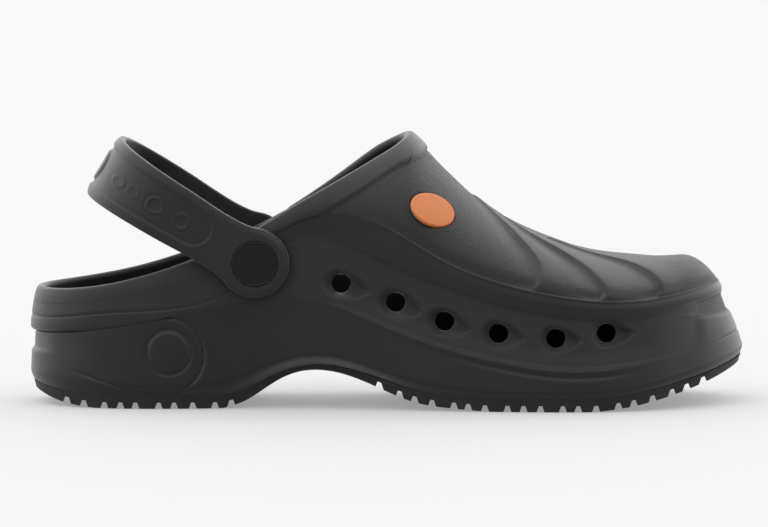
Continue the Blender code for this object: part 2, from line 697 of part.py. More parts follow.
def make_insole(finish):
    """Loose footbed, dished along its middle, lying on the sole's floor."""
    at = stations()
    floor = section("floor", at) + GAP
    inset = WALL + TRAY_INSET + GAP
    bottom = ring(lambda side: wall(at, side, floor, inset + 0 * at))
    edge = ring(lambda side: wall(at, side, floor + INSOLE_EDGE * INSOLE_THICKNESS, inset + 0 * at))
    count = len(edge)
    half = count // 2
    outer = edge[:half + 1]
    inner = np.concatenate([edge[:1], edge[:half - 1:-1]])
    points = [bottom, edge]
    lanes = []
    room = np.clip(np.linalg.norm(inner - outer, axis=1) / INSOLE_DISH_WIDTH, 0, 1)
    for share in INSOLE_LANES:
        lane = outer + share * (inner - outer)
        lane[:, 2] += (1 - INSOLE_EDGE) * INSOLE_THICKNESS - INSOLE_DISH * math.sin(math.pi * share) * room
        points.append(lane)
        lanes.append(2 * count + len(lanes) * (half + 1))
    faces = rows_to_faces(0, count, 2) + ladder(0, count)
    for first, second in zip(lanes, lanes[1:]):
        faces += [(first + i, first + i + 1, second + i + 1, second + i) for i in range(half)]
    for i in range(half):
        faces.append((count + i, count + i + 1, lanes[0] + i + 1, lanes[0] + i))
        faces.append((
            count + (count - i) % count, count + (count - i - 1) % count,
            lanes[-1] + i + 1, lanes[-1] + i,
        ))
    add_object("insole", mesh_of("insole", np.concatenate(points), faces), finish)


# Heel strap and rivets

def strap_path():
    """Middle of the band's inner face in the strap's plane: (reach, sideways), and its outward direction."""
    straight = STRAP_REACH - STRAP_THICKNESS - STRAP_BEND
    sideways = {side: side * STRAP_OFF_WALL[side] for side in SIDES}
    middle = sum(sideways.values()) / 2
    front = -STRAP_END_RADIUS * np.cos(np.pi / 2 * np.arange(STRAP_END_STEPS) / STRAP_END_STEPS)
    run = straight * np.arange(1, STRAP_STEPS // 3 + 1) / (STRAP_STEPS // 3)
    turn = np.pi / 2 * np.arange(1, STRAP_STEPS // 2 + 1) / (STRAP_STEPS // 2)
    half = []
    for side in SIDES:
        width = sideways[side] - middle
        reach = np.concatenate([front, [0.0], run, straight + STRAP_BEND * np.sin(turn) ** STRAP_FULLNESS])
        drawn_in = np.abs(np.cos(turn)) ** STRAP_FULLNESS - 1
        across = np.concatenate([0 * front, [0.0], 0 * run, drawn_in]) * width + sideways[side]
        half.append(np.stack([reach, across], -1))
    path = np.concatenate([half[0], half[1][-2::-1]])
    along = np.gradient(path, axis=0)
    along /= np.linalg.norm(along, axis=1, keepdims=True)
    outward = np.stack([-along[:, 1], along[:, 0]], -1)
    facing = np.sign(np.sum(outward * (path - [0, middle]), axis=1))
    facing[np.abs(path[:, 1] - middle) < 1e-6] = np.sign(outward[np.abs(path[:, 1] - middle) < 1e-6, 0])
    return path, outward * facing[:, None]


def strap_half_width(reach):
    """Half the band's width: a round end at the rivet, a slim strand and a deeper back."""
    table = np.array(STRAP_WIDTHS)
    end = np.sqrt(np.clip(STRAP_END_RADIUS**2 - reach**2, 0.01, None))
    return np.where(reach < 0, end, spline(table[:, 0], table[:, 1], reach, flat_ends=True))


def strap_to_clog(local):
    """Strap's own (reach, sideways, up) to the clog's table axes."""
    angle = math.radians(STRAP_ANGLE)
    reach, sideways, up = np.moveaxis(np.asarray(local, float), -1, 0)
    along = PIVOT_STATION - reach * math.cos(angle) + up * math.sin(angle)
    height = PIVOT_HEIGHT + reach * math.sin(angle) + up * math.cos(angle)
    return np.stack([along, sideways, height], -1)


def make_strap(finish):
    """Foam band from rivet to rivet round the back of the heel."""
    path, outward = strap_path()
    half = strap_half_width(path[:, 0])
    edge = np.minimum(STRAP_EDGE, 0.45 * half)
    profile = (  # how far out from the inner face, and how far the band's edge is drawn in there
        (0.0, 1.0, 1), (0.3, 0.0, 1), (0.7, 0.0, 1), (1.0, 1.0, 1),
        (1.0, 1.0, -1), (0.7, 0.0, -1), (0.3, 0.0, -1), (0.0, 1.0, -1),
    )
    rows = []
    for out, drawn, sign in profile:
        plan = path + outward * out * STRAP_THICKNESS
        up = sign * (half - drawn * edge)
        rows.append(strap_to_clog(np.concatenate([plan, up[:, None]], -1)))
    points = np.stack(rows, 1).reshape(-1, 3)
    count = len(profile)
    faces = rows_to_faces(0, count, len(path))
    faces += [tuple(range(count)), tuple((len(path) - 1) * count + k for k in range(count))]
    strap = add_object("heel_strap", mesh_of("heel_strap", points, faces), finish)
    cut(strap, pivot_cutter("strap_holes", SHANK_RADIUS + GAP))
    cut(strap, strap_seats())


def strap_seats():
    """Round seats in the strap's outer face, which take the rivets' heads."""
    shapes = []
    for side in SIDES:
        face = STRAP_OFF_WALL[side] + STRAP_THICKNESS
        radius = RIVET_HEAD_RADIUS + GAP
        profile = ((face - RIVET_HEAD_DEPTH - GAP, radius), (face + STRAP_THICKNESS, radius))
        shapes.append(turned(profile, pivot(side, 0), (0, side, 0), ROUND_SIDES))
    return add_object("strap_seats", mesh_of("strap_seats", *joined(shapes)))


def make_rivet(name, side, finish):
    """Hard rivet: a flat head in the strap, a shank through both walls and a flange inside the upper."""
    face = STRAP_OFF_WALL[side] + STRAP_THICKNESS
    head_back = face - RIVET_HEAD_DEPTH
    head_front = face + RIVET_PROUD
    at = np.array([PIVOT_STATION])
    inner_wall = min(abs(over(at, side, np.array([share]), WALL)[0, 1]) for share in (0.0, 0.4))
    below = abs(wall(at, side, np.array([PIVOT_HEIGHT - FLANGE_RADIUS]), np.array([WALL]))[0, 1])
    flange_face = min(inner_wall, below) - GAP
    profile = (
        (flange_face - FLANGE_THICKNESS, FLANGE_RADIUS - RIVET_EDGE),
        (flange_face - RIVET_EDGE, FLANGE_RADIUS), (flange_face, FLANGE_RADIUS),
        (flange_face, SHANK_RADIUS), (head_back, SHANK_RADIUS),
        (head_back, RIVET_HEAD_RADIUS), (head_front - RIVET_EDGE, RIVET_HEAD_RADIUS),
        (head_front, RIVET_HEAD_RADIUS - RIVET_EDGE),
    )
    add_object(name, mesh_of(name, *turned(profile, pivot(side, 0), (0, side, 0), ROUND_SIDES)), finish)


def main():
    for old in list(bpy.data.objects):
        bpy.data.objects.remove(old)
    foam = material("black_foam", BLACK_FOAM, 0.6)
    rubber = material("black_rubber", BLACK_RUBBER, 0.65)
    hard = material("black_hard_plastic", BLACK_FOAM, 0.4)
    orange = material("orange_plastic", ORANGE, 0.45)
    make_sole(foam)
    make_outsole(rubber)
    make_upper(foam)
    make_insole(foam)
    make_strap(foam)
    make_rivet("rivet_outer", OUTER_SIDE, hard)
    make_rivet("rivet_inner", INNER_SIDE, hard)
    make_badge(orange)


main()
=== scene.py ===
"""Visible pieces of a moulded foam work clog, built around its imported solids.

Tables and sizes are in millimetres, as a last maker reads them. A station is a distance from the back of the
heel, and a height is measured from the floor. +X points to the toe, +Y to the inner side of the foot and
+Z up.
"""

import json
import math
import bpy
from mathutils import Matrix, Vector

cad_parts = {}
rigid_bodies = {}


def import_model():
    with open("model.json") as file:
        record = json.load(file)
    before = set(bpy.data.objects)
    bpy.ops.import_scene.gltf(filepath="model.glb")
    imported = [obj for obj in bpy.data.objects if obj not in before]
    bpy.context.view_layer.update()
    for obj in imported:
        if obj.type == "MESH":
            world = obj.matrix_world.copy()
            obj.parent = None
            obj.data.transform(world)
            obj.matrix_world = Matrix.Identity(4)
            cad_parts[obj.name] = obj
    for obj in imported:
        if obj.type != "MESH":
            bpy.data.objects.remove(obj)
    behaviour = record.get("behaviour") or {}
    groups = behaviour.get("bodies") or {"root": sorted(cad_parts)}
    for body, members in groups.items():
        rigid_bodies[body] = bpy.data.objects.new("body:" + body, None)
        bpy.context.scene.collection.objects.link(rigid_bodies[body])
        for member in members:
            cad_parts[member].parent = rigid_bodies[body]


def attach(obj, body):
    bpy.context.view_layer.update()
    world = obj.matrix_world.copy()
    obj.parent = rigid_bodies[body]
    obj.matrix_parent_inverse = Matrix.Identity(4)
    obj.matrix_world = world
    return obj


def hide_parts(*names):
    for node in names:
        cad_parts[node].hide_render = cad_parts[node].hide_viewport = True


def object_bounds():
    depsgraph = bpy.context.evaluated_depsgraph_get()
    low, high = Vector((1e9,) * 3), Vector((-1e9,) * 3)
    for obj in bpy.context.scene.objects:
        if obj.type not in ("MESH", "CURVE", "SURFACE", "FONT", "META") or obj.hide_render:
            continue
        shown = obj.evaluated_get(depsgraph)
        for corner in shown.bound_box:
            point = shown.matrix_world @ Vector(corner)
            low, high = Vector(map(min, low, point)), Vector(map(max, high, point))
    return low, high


bl_info = {
    "name": "Work clog",
    "version": (1, 0, 0),
    "blender": (4, 5, 0),
    "location": "View3D > Sidebar > Clog",
    "description": "Builds the visible pieces of a moulded foam work clog around its packed solids",
    "category": "Object",
}

import bmesh
import bpy
import numpy as np
from bpy.props import FloatProperty, FloatVectorProperty, PointerProperty
from bpy.types import Operator, Panel, PropertyGroup
from mathutils import Matrix, Vector

for startup_object in list(bpy.data.objects):
    bpy.data.objects.remove(startup_object)
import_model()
CAD_BOX = [list(corner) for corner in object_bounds()]

MM = 0.001
BODY = "root"
OUTER_SIDE = -1  # sign of Y on the side of the little toe
INNER_SIDE = 1
SIDES = (OUTER_SIDE, INNER_SIDE)

# Driving sizes
LENGTH = round((CAD_BOX[1][0] - CAD_BOX[0][0]) / MM, 1)
HEEL_CENTRE = 38.0  # station that the back of the heel curves round
THROAT = 153.0  # station of the front of the collar opening

# One row for each section of the sole's side and of the wall above it.
# centre and half_width give the widest outline, which runs at the flare height.
# low is the line where the upper meets the sole, panel the top of the vent panel, and ridge the feather line.
# foot_inset and ridge_inset say how far the lower edge and the ridge lie inside the widest outline.
# panel_step is how far the panel stands out (heel bead) or lies back (vent panel).
SECTION_COLUMNS = (
    "station", "centre", "half_width", "flare", "low", "panel", "ridge",
    "foot_inset", "ridge_inset", "panel_step", "floor",
)
SECTIONS = (
    (0, 0.0, 0.0, 13.5, 29.7, 35.5, 41.0, 1.2, 1.2, 0.7, 23.0),
    (14, 0.0, 28.6, 13.0, 31.0, 36.6, 41.6, 1.4, 1.2, 0.7, 22.4),
    (34, 0.0, 37.6, 11.5, 33.2, 39.0, 44.6, 1.8, 1.5, 0.6, 21.6),
    (58, -0.4, 39.4, 10.5, 37.6, 40.6, 50.4, 2.4, 2.0, 0.3, 21.6),
    (84, -1.2, 38.4, 14.5, 43.6, 50.0, 61.6, 6.0, 2.6, 0.0, 22.8),
    (106, -2.0, 38.2, 22.0, 46.0, 67.5, 75.0, 10.0, 3.2, -0.2, 24.6),
    (124, -2.3, 39.8, 22.5, 42.2, 69.0, 79.4, 9.5, 4.0, -1.2, 23.8),
    (144, -2.3, 43.0, 16.5, 34.0, 60.6, 73.4, 5.4, 4.4, -1.6, 20.4),
    (166, -2.2, 47.0, 11.5, 26.3, 51.8, 60.7, 3.0, 4.6, -1.6, 16.8),
    (192, -1.5, 51.2, 9.0, 20.2, 43.8, 51.0, 2.1, 4.8, -1.6, 14.0),
    (216, -0.4, 53.5, 8.5, 17.0, 39.6, 46.0, 1.9, 5.0, -1.6, 13.2),
    (240, 1.6, 52.3, 10.0, 18.2, 38.2, 44.0, 1.8, 5.6, -1.5, 14.2),
    (262, 4.6, 44.2, 14.5, 21.6, 40.6, 45.2, 1.6, 7.0, -1.2, 16.6),
    (279, 7.0, 28.6, 19.6, 26.0, 43.2, 47.6, 1.4, 8.6, -0.9, 19.4),
    (288, 8.0, 0.0, 22.5, 28.4, 44.3, 48.6, 1.2, 9.2, -0.8, 20.6),
)

# Collar edge from the back of the heel to the front of the opening: height on the outer side, and how much
# higher the inner side is.
COLLAR_COLUMNS = ("station", "height", "inner_lift")
COLLAR = (
    (0, 46.4, 0.0),
    (20, 47.7, -0.3),
    (46, 52.8, -1.0),
    (72, 62.0, -2.0),
    (94, 73.0, -4.6),
    (110, 82.4, -4.6),
    (129, 93.4, -1.4),
    (140, 99.6, 1.0),
    (146.3, 103.0, 1.2),
    (THROAT, 108.5, 0.0),
)

# Dome of the upper: how far its middle line rises over the ridge, and how far it lies to the inner side.
DOME_COLUMNS = ("station", "rise", "middle")
DOME = (
    (0, 25.0, 0.0), (46, 25.0, 0.0), (72, 25.0, 0.0), (94, 23.5, 0.6), (110, 22.0, 1.6), (129, 26.5, 3.0),
    (141, 33.2, 3.6), (147, 37.4, 3.9), (THROAT, 39.9, 4.0), (162, 36.8, 3.8), (174, 31.0, 3.4),
    (187, 25.2, 2.8), (200, 21.0, 2.4), (213, 18.5, 2.2), (226, 16.3, 2.4), (245, 14.45, 3.6),
    (262, 12.95, 5.6), (277.6, 11.6, 8.0),
)
SHOULDER = 1.15  # over 1 flattens the flank of the vamp
TOE_CAP = 15.5  # length of the rounded front of the toe box

# Underside, down the middle of the foot: height of the tread and thickness of the outsole.
GROUND_COLUMNS = ("station", "height", "thickness")
GROUND = (
    (0, 7.2, 2.4), (7, 3.9, 4.0), (15, 1.5, 5.0), (27, 0.0, 5.6), (78, 0.0, 5.6), (88, 3.3, 5.2),
    (97, 9.0, 4.0), (106, 13.6, 2.8), (116, 15.2, 2.6), (128, 13.4, 2.8), (141, 8.6, 4.2),
    (154, 3.6, 5.4), (170, 1.1, 5.6), (186, 0.0, 5.6), (228, 0.0, 5.6), (245, 2.2, 5.2),
    (262, 6.4, 4.6), (276, 11.2, 3.6), (288, 16.4, 2.4),
)

# Raised band round the front of the collar: station and width of the band
BAND_WIDTHS = ((88, 6.0), (105, 6.9), (125, 8.6), (THROAT, 9.4))
BAND_EDGE = 1.2  # width of the band's sloping edge
BAND_START = (88.0, 112.0)  # stations between which the band grows out of the wall

# Creases between the overlapping scales of the vamp: station, and share of the way up from ridge to crown.
CREASES = (
    ((202.0, 0.0), (205.2, 0.25), (203.6, 0.44), (197.0, 0.645), (190.2, 0.81), (178.5, 1.0)),
    ((230.0, 0.0), (232.6, 0.22), (229.5, 0.365), (215.5, 0.685), (201.0, 0.87), (191.0, 1.0)),
    ((257.0, 0.0), (258.0, 0.14), (256.0, 0.375), (245.5, 0.69), (229.0, 0.89), (209.0, 1.0)),
)

# Vents of each side: middle of each hole, tilt of the dish round it in degrees, and how pointed its front is.
VENTS = (
    (125.4, 50.9, -14.0, 0.5),
    (147.2, 43.6, -17.0, 0.55),
    (167.0, 36.2, -15.0, 0.65),
    (188.9, 31.5, -10.0, 0.8),
    (212.3, 29.6, -4.0, 0.95),
    (233.7, 31.6, 1.0, 1.0),
)
INNER_VENT_LIFT = 1.6  # how much higher the vents lie over the arch of the foot
DISH_RADIUS = 5.7  # of its round back
DISH_SHIFT = 1.2  # how far the middle of that lies behind the hole
DISH_FRONT = 11.4  # from the middle of the hole to the front of the dish
DISH_SLOPE = 2.5  # width of its sloping side
PANEL_INSIDE = 1.6  # how far the wall steps in behind the vent panel

# Heel ornament on each side of the sole: a round boss, and a groove that hooks round it and runs back.
BOSS_STATION = 56.3
BOSS_HEIGHT = 23.2
BOSS_RADIUS = 9.0
HOOK_CENTRE = (54.8, 21.8)
HOOK_RADIUS = 15.5
HOOK_TAIL = ((44.0, 7.4), (32.0, 10.4), (17.5, 15.2))

# Toe bumper
BUMPER_START = (268.6, 272.8)  # stations between which it rises out of the side
BUMPER_TOP = 36.4
BUMPER_FULL = 29.0  # height at which it is fullest
BUMPER_SPREAD = 9.0  # how much further back it starts at its foot
BUMPER_SLANT = (17.0, 31.0)  # heights between which its start runs forward

# Tread
HEEL_GROOVES = (15.1, 22.0, 30.3, 36.8, 42.9, 52.3, 58.5, 66.0, 75.0, 81.5)
FOREFOOT_GROOVES = (
    141.4, 149.6, 155.6, 162.6, 171.4, 177.1, 183.9, 192.9, 199.4, 206.2, 215.2, 221.4, 228.6, 237.6,
    243.8, 251.4, 259.3, 265.3, 272.0,
)
GROOVE_MOUTH = 3.2  # width at the tread face
GROOVE_ROOT = 1.4
SPLIT_WIDTH = 4.0  # lengthwise groove between the inner and outer lugs
SPLIT_DEPTH = 2.8
SPLITS = ((27.0, 79.0), (160.0, 250.0))
TOE_LIP = 1.2  # how far the outsole stands out under the toe
TOE_LIP_GROWS = (258.0, 284.0)  # stations between which it comes to that
TREAD_INSET = 0.7  # of the tread face, inside the foot of the sole
BOND_INSET = 0.05  # of the outsole's top, inside the foot of the sole

# Heel strap, in its own plane: reach runs backwards from the rivets.
PIVOT_STATION = 91.1
PIVOT_HEIGHT = 59.3
PIVOT = (PIVOT_STATION, 0, PIVOT_HEIGHT)
STRAP_ANGLE = 31.0  # above the floor, in degrees
STRAP_THICKNESS = 3.6
STRAP_REACH = 72.4  # from the rivets to the outside of the back
STRAP_BEND = 32.0  # length of the rounded back
STRAP_FULLNESS = 0.82  # 1 makes the back an ellipse, and less fills out its corners
STRAP_EDGE = 0.9  # rounding of the band's edges
STRAP_END_RADIUS = 14.0
STRAP_OFF_WALL = {OUTER_SIDE: 38.9, INNER_SIDE: 36.1}  # inner face of each strand, from the middle plane
STRAP_BEAD = 3.9  # width of the raised bead along each edge
STRAP_PANEL_START = 21.0  # reach of the round end of the strand's sunk panel
# Half of the band's width at each reach
STRAP_WIDTHS = (
    (0, 14.0), (4, 13.6), (8, 12.3), (12, 11.6), (34, 11.8), (52, 12.4), (66, 13.0), (STRAP_REACH, 13.2),
)
# Rings on each strand: reach, radius and strength
STRAP_RINGS = ((34.2, 3.1, 1.0), (45.9, 3.1, 1.0), (55.2, 2.1, 0.35), (61.5, 2.1, 0.4))
STRAP_PAD = (10.5, 7.2)  # half the length and half the height of the pad at the back

# Rivets: a flat head let into the strap, a shank and a flange inside the upper.
RIVET_HEAD_RADIUS = 9.0
RIVET_HEAD_DEPTH = 1.8
RIVET_PROUD = 0.5
SHANK_RADIUS = 3.5
FLANGE_RADIUS = 6.5
FLANGE_THICKNESS = 1.4
HOLE_SPAN = (25.0, 55.0)  # from the middle plane, through the upper's wall and the strap
CLEARANCE = 0.3  # round a piece that is let into another

# Oval badge on the outer side of the vamp
BADGE_STATION = 162.0
BADGE_SHARE = 0.36  # of the way up from ridge to crown
BADGE_RADIUS = 9.5  # half its length
BADGE_OVAL = 0.82  # height over length
BADGE_TURN = -22.0  # degrees by which its front end dips
BADGE_THICKNESS = 2.2
BADGE_SEAT = 1.5  # depth of its seat below the middle of the surface

INSOLE_THICKNESS = 4.0
INSOLE_DISH = 1.6  # how far the middle lies below the rim
INSOLE_DISH_WIDTH = 40.0  # where the insole is narrower than this, the dish grows shallower
TRAY_LEAN = 1.6  # how far the tray under the insole draws in at its floor

# Where forms of the side begin and end: each pair of stations is where one comes up or fades out.
HEEL_BEAD_FADES = (46.0, 88.0)
HEEL_BEAD_END = 95.0
VENT_PANEL_STARTS = (106.0, 140.0)
VENT_PANEL_FADES = (238.0, 262.0)
WALL_STEPS_IN = (104.0, 126.0)
TOE_PANEL_STARTS = (263.0, 274.0)
TOE_SEAM_STARTS = (274.0, 284.0)
RIM_STARTS = (122.0, 160.0)
LEDGE_STARTS = (130.0, 152.0)
SIDE_RIB_STARTS = (96.0, 130.0)
SIDE_GROOVE_STARTS = (150.0, 200.0)
SIDE_GROOVE_FADES = (228.0, 252.0)
HEEL_BACK_FADES = (1.0, 10.0)
HOOK_STARTS = (15.0, 26.0)
HOOK_LIP_STARTS = (50.0, 58.0)

# Heights and depths of the lesser relief
TOE_SEAM_DEPTH = 0.5
RIM_LIP = 0.3  # along the top of the rim
HEEL_BEAD_SWELL = 0.15
HEEL_BEAD_GROOVE = 0.3
VENT_EDGE = 0.25  # how far the edge of a vent is rounded off
LEDGE_DEPTH = 0.75  # of the ledge over the ridge
BAND_RISE = 0.35  # how much further the collar band stands out at the throat
BAND_RISE_START = 138.0  # station
BAND_GROOVE = 0.12
HEEL_BACK_STEP = 1.15  # between the two halves of the heel's back
HEEL_BACK_LINE = (20.8, 23.0)  # heights between which that step lies
HEEL_HOLLOW = 0.5
HEEL_HOLLOW_END = 62.0  # station
HEEL_HOLLOW_RUN = 45.0  # length over which it grows to the back
HEEL_GROOVE = 0.5  # under the upper's edge
SIDE_GROOVE = 0.5
SIDE_RIB = 0.35
HOOK_LIP = 0.3
BOSS_DOME = 0.5
BOSS_GROOVE = 0.6
LUG_BEVEL = 0.5
SIPE_DEPTH = 0.5
SIPE_SPACING = 7.0
BADGE_DOME = 0.55
BADGE_RIM = 0.8  # radius of its rounded rim
BADGE_BEVEL = 0.4  # at its back
BADGE_FACE_BACK = 0.35  # how far the edge of its face lies below its thickness
RIVET_RIM = 0.45  # radius of the round rim of its head
FLANGE_BEVEL = 0.5

# Where the mould is blasted, in the same way as the forms of the side. There the foam is also painted paler,
# in part a painted highlight.
PANEL_GRAIN_STARTS = (20.0, 60.0)
PANEL_GRAIN_FADES = (236.0, 258.0)
HEEL_GRAIN_FADES = (80.0, 116.0)
VAMP_GRAIN_STARTS = (112.0, 156.0)
TOE_GRAIN_STARTS = (264.0, 274.0)

# How coarse the skin is, from 0 to 1. The foam is painted paler where its skin is coarser, so the low grain
# of the sole is also painted shade on the sole.
INSIDE_GRAIN = 0.3
SOLE_GRAIN = 0.1
STRAP_GRAIN = 0.35

# Mesh density
UPPER_STATIONS = 344
SOLE_STATIONS = 330
PANEL_ROWS = 35
RIM_ROWS = 12
RIM_ROUNDS = 10  # steps of the rolled collar edge
VAMP_ROWS = 66
SOLE_FOOT_ROWS = 17  # from the tread to the widest outline
SOLE_SIDE_ROWS = 53  # from there to the upper
TREAD_STATIONS = 220
TREAD_LANES = 61
FOOTBED_STATIONS = 240
FOOTBED_LANES = 41
STRAP_STEPS = (40, 75, 111)  # of a strand's round end, of its straight run and of half the back
STRAP_ROWS = (47, 9)  # over the outer and the inner face of the band
ROUND_SIDES = 96
VENT_SIDES = 64
HOLE_SIDES = 48
JOIN = 0.004  # points that lie nearer than this become one
SLIVER = 0.001  # faces thinner than this are taken out

# Light and floor
NOISE_LOW = 0.3  # most values of a noise lie between these two
NOISE_HIGH = 0.7
DARK_FROM = -0.55  # the soft light fades between these two shares of its direction
BRIGHT_FROM = 0.75
FLOOR_HALF = 30.0  # metres
AIM = Vector((-0.0008, -0.015, 0.0571))  # the point of the clog in the middle of the picture


def linear(hex_colour):
    """Linear red, green and blue of an sRGB hex colour."""
    parts = [int(hex_colour[i:i + 2], 16) / 255 for i in (1, 3, 5)]
    return tuple(p / 12.92 if p <= 0.04045 else ((p + 0.055) / 1.055) ** 2.4 for p in parts)


def length(name, description, default):
    """A size that a user may change, given in millimetres."""
    return FloatProperty(name=name, description=description, default=default * MM, min=0.0, unit="LENGTH",
                         precision=4)


def colour(name, description, hex_colour):
    """A colour that a user may change."""
    return FloatVectorProperty(name=name, description=description, default=linear(hex_colour), size=3,
                               min=0.0, max=1.0, subtype="COLOR")


class ClogSizes(PropertyGroup):
    """Sizes of the clog's relief."""

    wall: length("Wall", "Thickness of the moulded foam wall", 3.4)
    band: length("Collar band", "How far the band round the collar stands out", 0.9)
    crease: length("Vamp crease", "Height of the step between two scales of the vamp", 2.0)
    rim: length("Rim", "How far the rim between vent panel and vamp swells", 0.6)
    vent_radius: length("Vent radius", "Radius of each vent hole", 3.85)
    vent_dish: length("Vent dish", "Depth of the leaf-shaped dish round each vent", 2.6)
    boss: length("Heel boss", "How far the round boss on the heel stands out", 0.3)
    hook: length("Heel groove", "Depth of the groove that hooks round the heel boss", 0.85)
    bumper: length("Toe bumper", "How far the toe bumper stands out", 0.7)
    tread: length("Tread groove", "Depth of the grooves between the lugs", 2.6)
    strap_panel: length("Strap panel", "Depth of the sunk panel on each strand of the strap", 0.55)


class ClogColours(PropertyGroup):
    """Colours of the clog's pieces."""

    foam: colour("Foam", "Upper, sole and heel strap", "#100F10")
    footbed: colour("Footbed", "Loose insole", "#2C2B2C")
    tread: colour("Tread", "Rubber outsole", "#181718")
    rivets: colour("Rivets", "Hard rivets of the strap", "#0A0A0A")
    badge: colour("Badge", "Oval button on the vamp", "#AC5D20")
    floor: colour("Floor", "Studio floor", "#929293")


class ClogStage(PropertyGroup):
    """Camera, light and floor."""

    distance: FloatProperty(name="Camera distance", description="From the middle of the clog to the camera",
                            default=6.0, unit="LENGTH")
    elevation: FloatProperty(name="Camera elevation", description="How far the camera looks down",
                             default=math.radians(5.0), subtype="ANGLE")
    frame_width: FloatProperty(name="Frame width", description="Width of the picture at the clog",
                               default=0.3107, unit="LENGTH")
    backdrop: FloatProperty(name="Backdrop light", description="Strength of the soft light above and behind",
                            default=2.15, min=0.0)
    light_way: FloatVectorProperty(name="Light direction", description="Where the soft light is strongest",
                                   default=(-0.2, 0.4, 0.8), size=3, subtype="DIRECTION")
    end_light: FloatProperty(name="End light", description="How far the light reaches round to toe and heel",
                             default=0.42, min=0.0)
    room: FloatProperty(name="Room light", description="Strength of the dim room on the camera's side",
                        default=0.04, min=0.0)
    glow: FloatProperty(name="Floor light", description="Strength of the light that comes through the floor",
                        default=0.3, min=0.0)


# Smooth tables

def spline(knots, values, at, level_ends=False):
    """Natural cubic spline through a table, or one whose ends are level."""
    knots = np.asarray(knots, float)
    values = np.asarray(values, float)
    count = len(knots)
    step = np.diff(knots)
    slope = np.diff(values) / step
    matrix = np.eye(count)
    right = np.zeros(count)
    for i in range(1, count - 1):
        matrix[i, i - 1:i + 2] = step[i - 1], 2 * (step[i - 1] + step[i]), step[i]
        right[i] = 6 * (slope[i] - slope[i - 1])
    if level_ends:
        matrix[0, :2] = 2 * step[0], step[0]
        right[0] = 6 * slope[0]
        matrix[-1, -2:] = step[-1], 2 * step[-1]
        right[-1] = -6 * slope[-1]
    bend = np.linalg.solve(matrix, right)
    at = np.clip(np.asarray(at, float), knots[0], knots[-1])
    i = np.clip(np.searchsorted(knots, at) - 1, 0, count - 2)
    before = at - knots[i]
    after = knots[i + 1] - at
    return (
        (bend[i] * after**3 + bend[i + 1] * before**3) / (6 * step[i])
        + (values[i] / step[i] - bend[i] * step[i] / 6) * after
        + (values[i + 1] / step[i] - bend[i + 1] * step[i] / 6) * before
    )


def smooth(value, start, end):
    """0 before start, 1 after end, and a soft climb between them."""
    share = np.clip((value - start) / (end - start), 0, 1)
    return share * share * (3 - 2 * share)


def hump(value, middle, reach):
    """1 in the middle, falling softly to 0 over about twice the reach."""
    return np.exp(-((value - middle) / reach) ** 2)


def round_angle(station, over_length):
    """Angle whose cosine gives the station, so that both ends of an outline come out round."""
    return np.arccos(np.clip(1 - 2 * np.asarray(station, float) / over_length, -1, 1))


def column(table, columns, name):
    """One column of a table."""
    return np.array([row[columns.index(name)] for row in table], float)


def section(name, station):
    """A column of SECTIONS at any station."""
    knots = round_angle(column(SECTIONS, SECTION_COLUMNS, "station"), LENGTH)
    values = column(SECTIONS, SECTION_COLUMNS, name)
    return spline(knots, values, round_angle(station, LENGTH), level_ends=name != "half_width")


def collar(name, station):
    """A column of COLLAR at any station."""
    knots = round_angle(column(COLLAR, COLLAR_COLUMNS, "station"), THROAT)
    values = column(COLLAR, COLLAR_COLUMNS, name)
    return spline(knots, values, round_angle(station, THROAT), level_ends=True)


def dome(name, station):
    """A column of DOME at any station."""
    return spline(column(DOME, DOME_COLUMNS, "station"), column(DOME, DOME_COLUMNS, name), station)


def ground(name, station):
    """A column of GROUND at any station."""
    values = column(GROUND, GROUND_COLUMNS, name)
    found = spline(column(GROUND, GROUND_COLUMNS, "station"), values, station)
    return np.clip(found, 0, None)


# The last: points of the clog's skin

def outline(station, side, inset):
    """Plan points that lie inset within the widest outline, square to it."""
    tiny = 1e-4
    angle = np.clip(round_angle(station, LENGTH), tiny, math.pi - tiny)

    def plan(at):
        along = LENGTH / 2 * (1 - np.cos(at))
        return np.stack([along, section("centre", along) + side * section("half_width", along)], -1)

    tangent = plan(angle + tiny / 2) - plan(angle - tiny / 2)
    tangent /= np.linalg.norm(tangent, axis=-1, keepdims=True)
    outward = side * np.stack([-tangent[..., 1], tangent[..., 0]], -1)
    return plan(angle) - outward * np.asarray(inset, float)[..., None]


def wall(station, side, height, inset):
    """Points of the side wall at that height; inset is measured from the plain wall, inwards."""
    station, height, inset = np.broadcast_arrays(station, height, inset)
    flare = section("flare", station)
    share = (height - flare) / (section("ridge", station) - flare)
    lean = section("ridge_inset", station) * np.clip(share, 0, 1)
    return np.concatenate([outline(station, side, lean + inset), height[..., None]], -1)


def dome_rise(along, inset):
    """Rise of the dome's middle line over the ridge. The toe end is rounded."""
    tip = outline(np.array([LENGTH]), OUTER_SIDE, section("ridge_inset", np.array([LENGTH])) + inset)[0, 0]
    share = np.clip((along - tip + TOE_CAP) / TOE_CAP, 0, 1)
    return (dome("rise", along) - inset) * (1 - share**2)


def edge_angle(station, side):
    """Angle up the dome at which the collar edge cuts it; a right angle where the dome is closed."""
    height = collar("height", station) + (side == INNER_SIDE) * collar("inner_lift", station)
    share = (height - section("ridge", station)) / dome("rise", station)
    return np.where(station < THROAT, np.arcsin(np.clip(share, 0, 1) ** (1 / SHOULDER)), np.pi / 2)


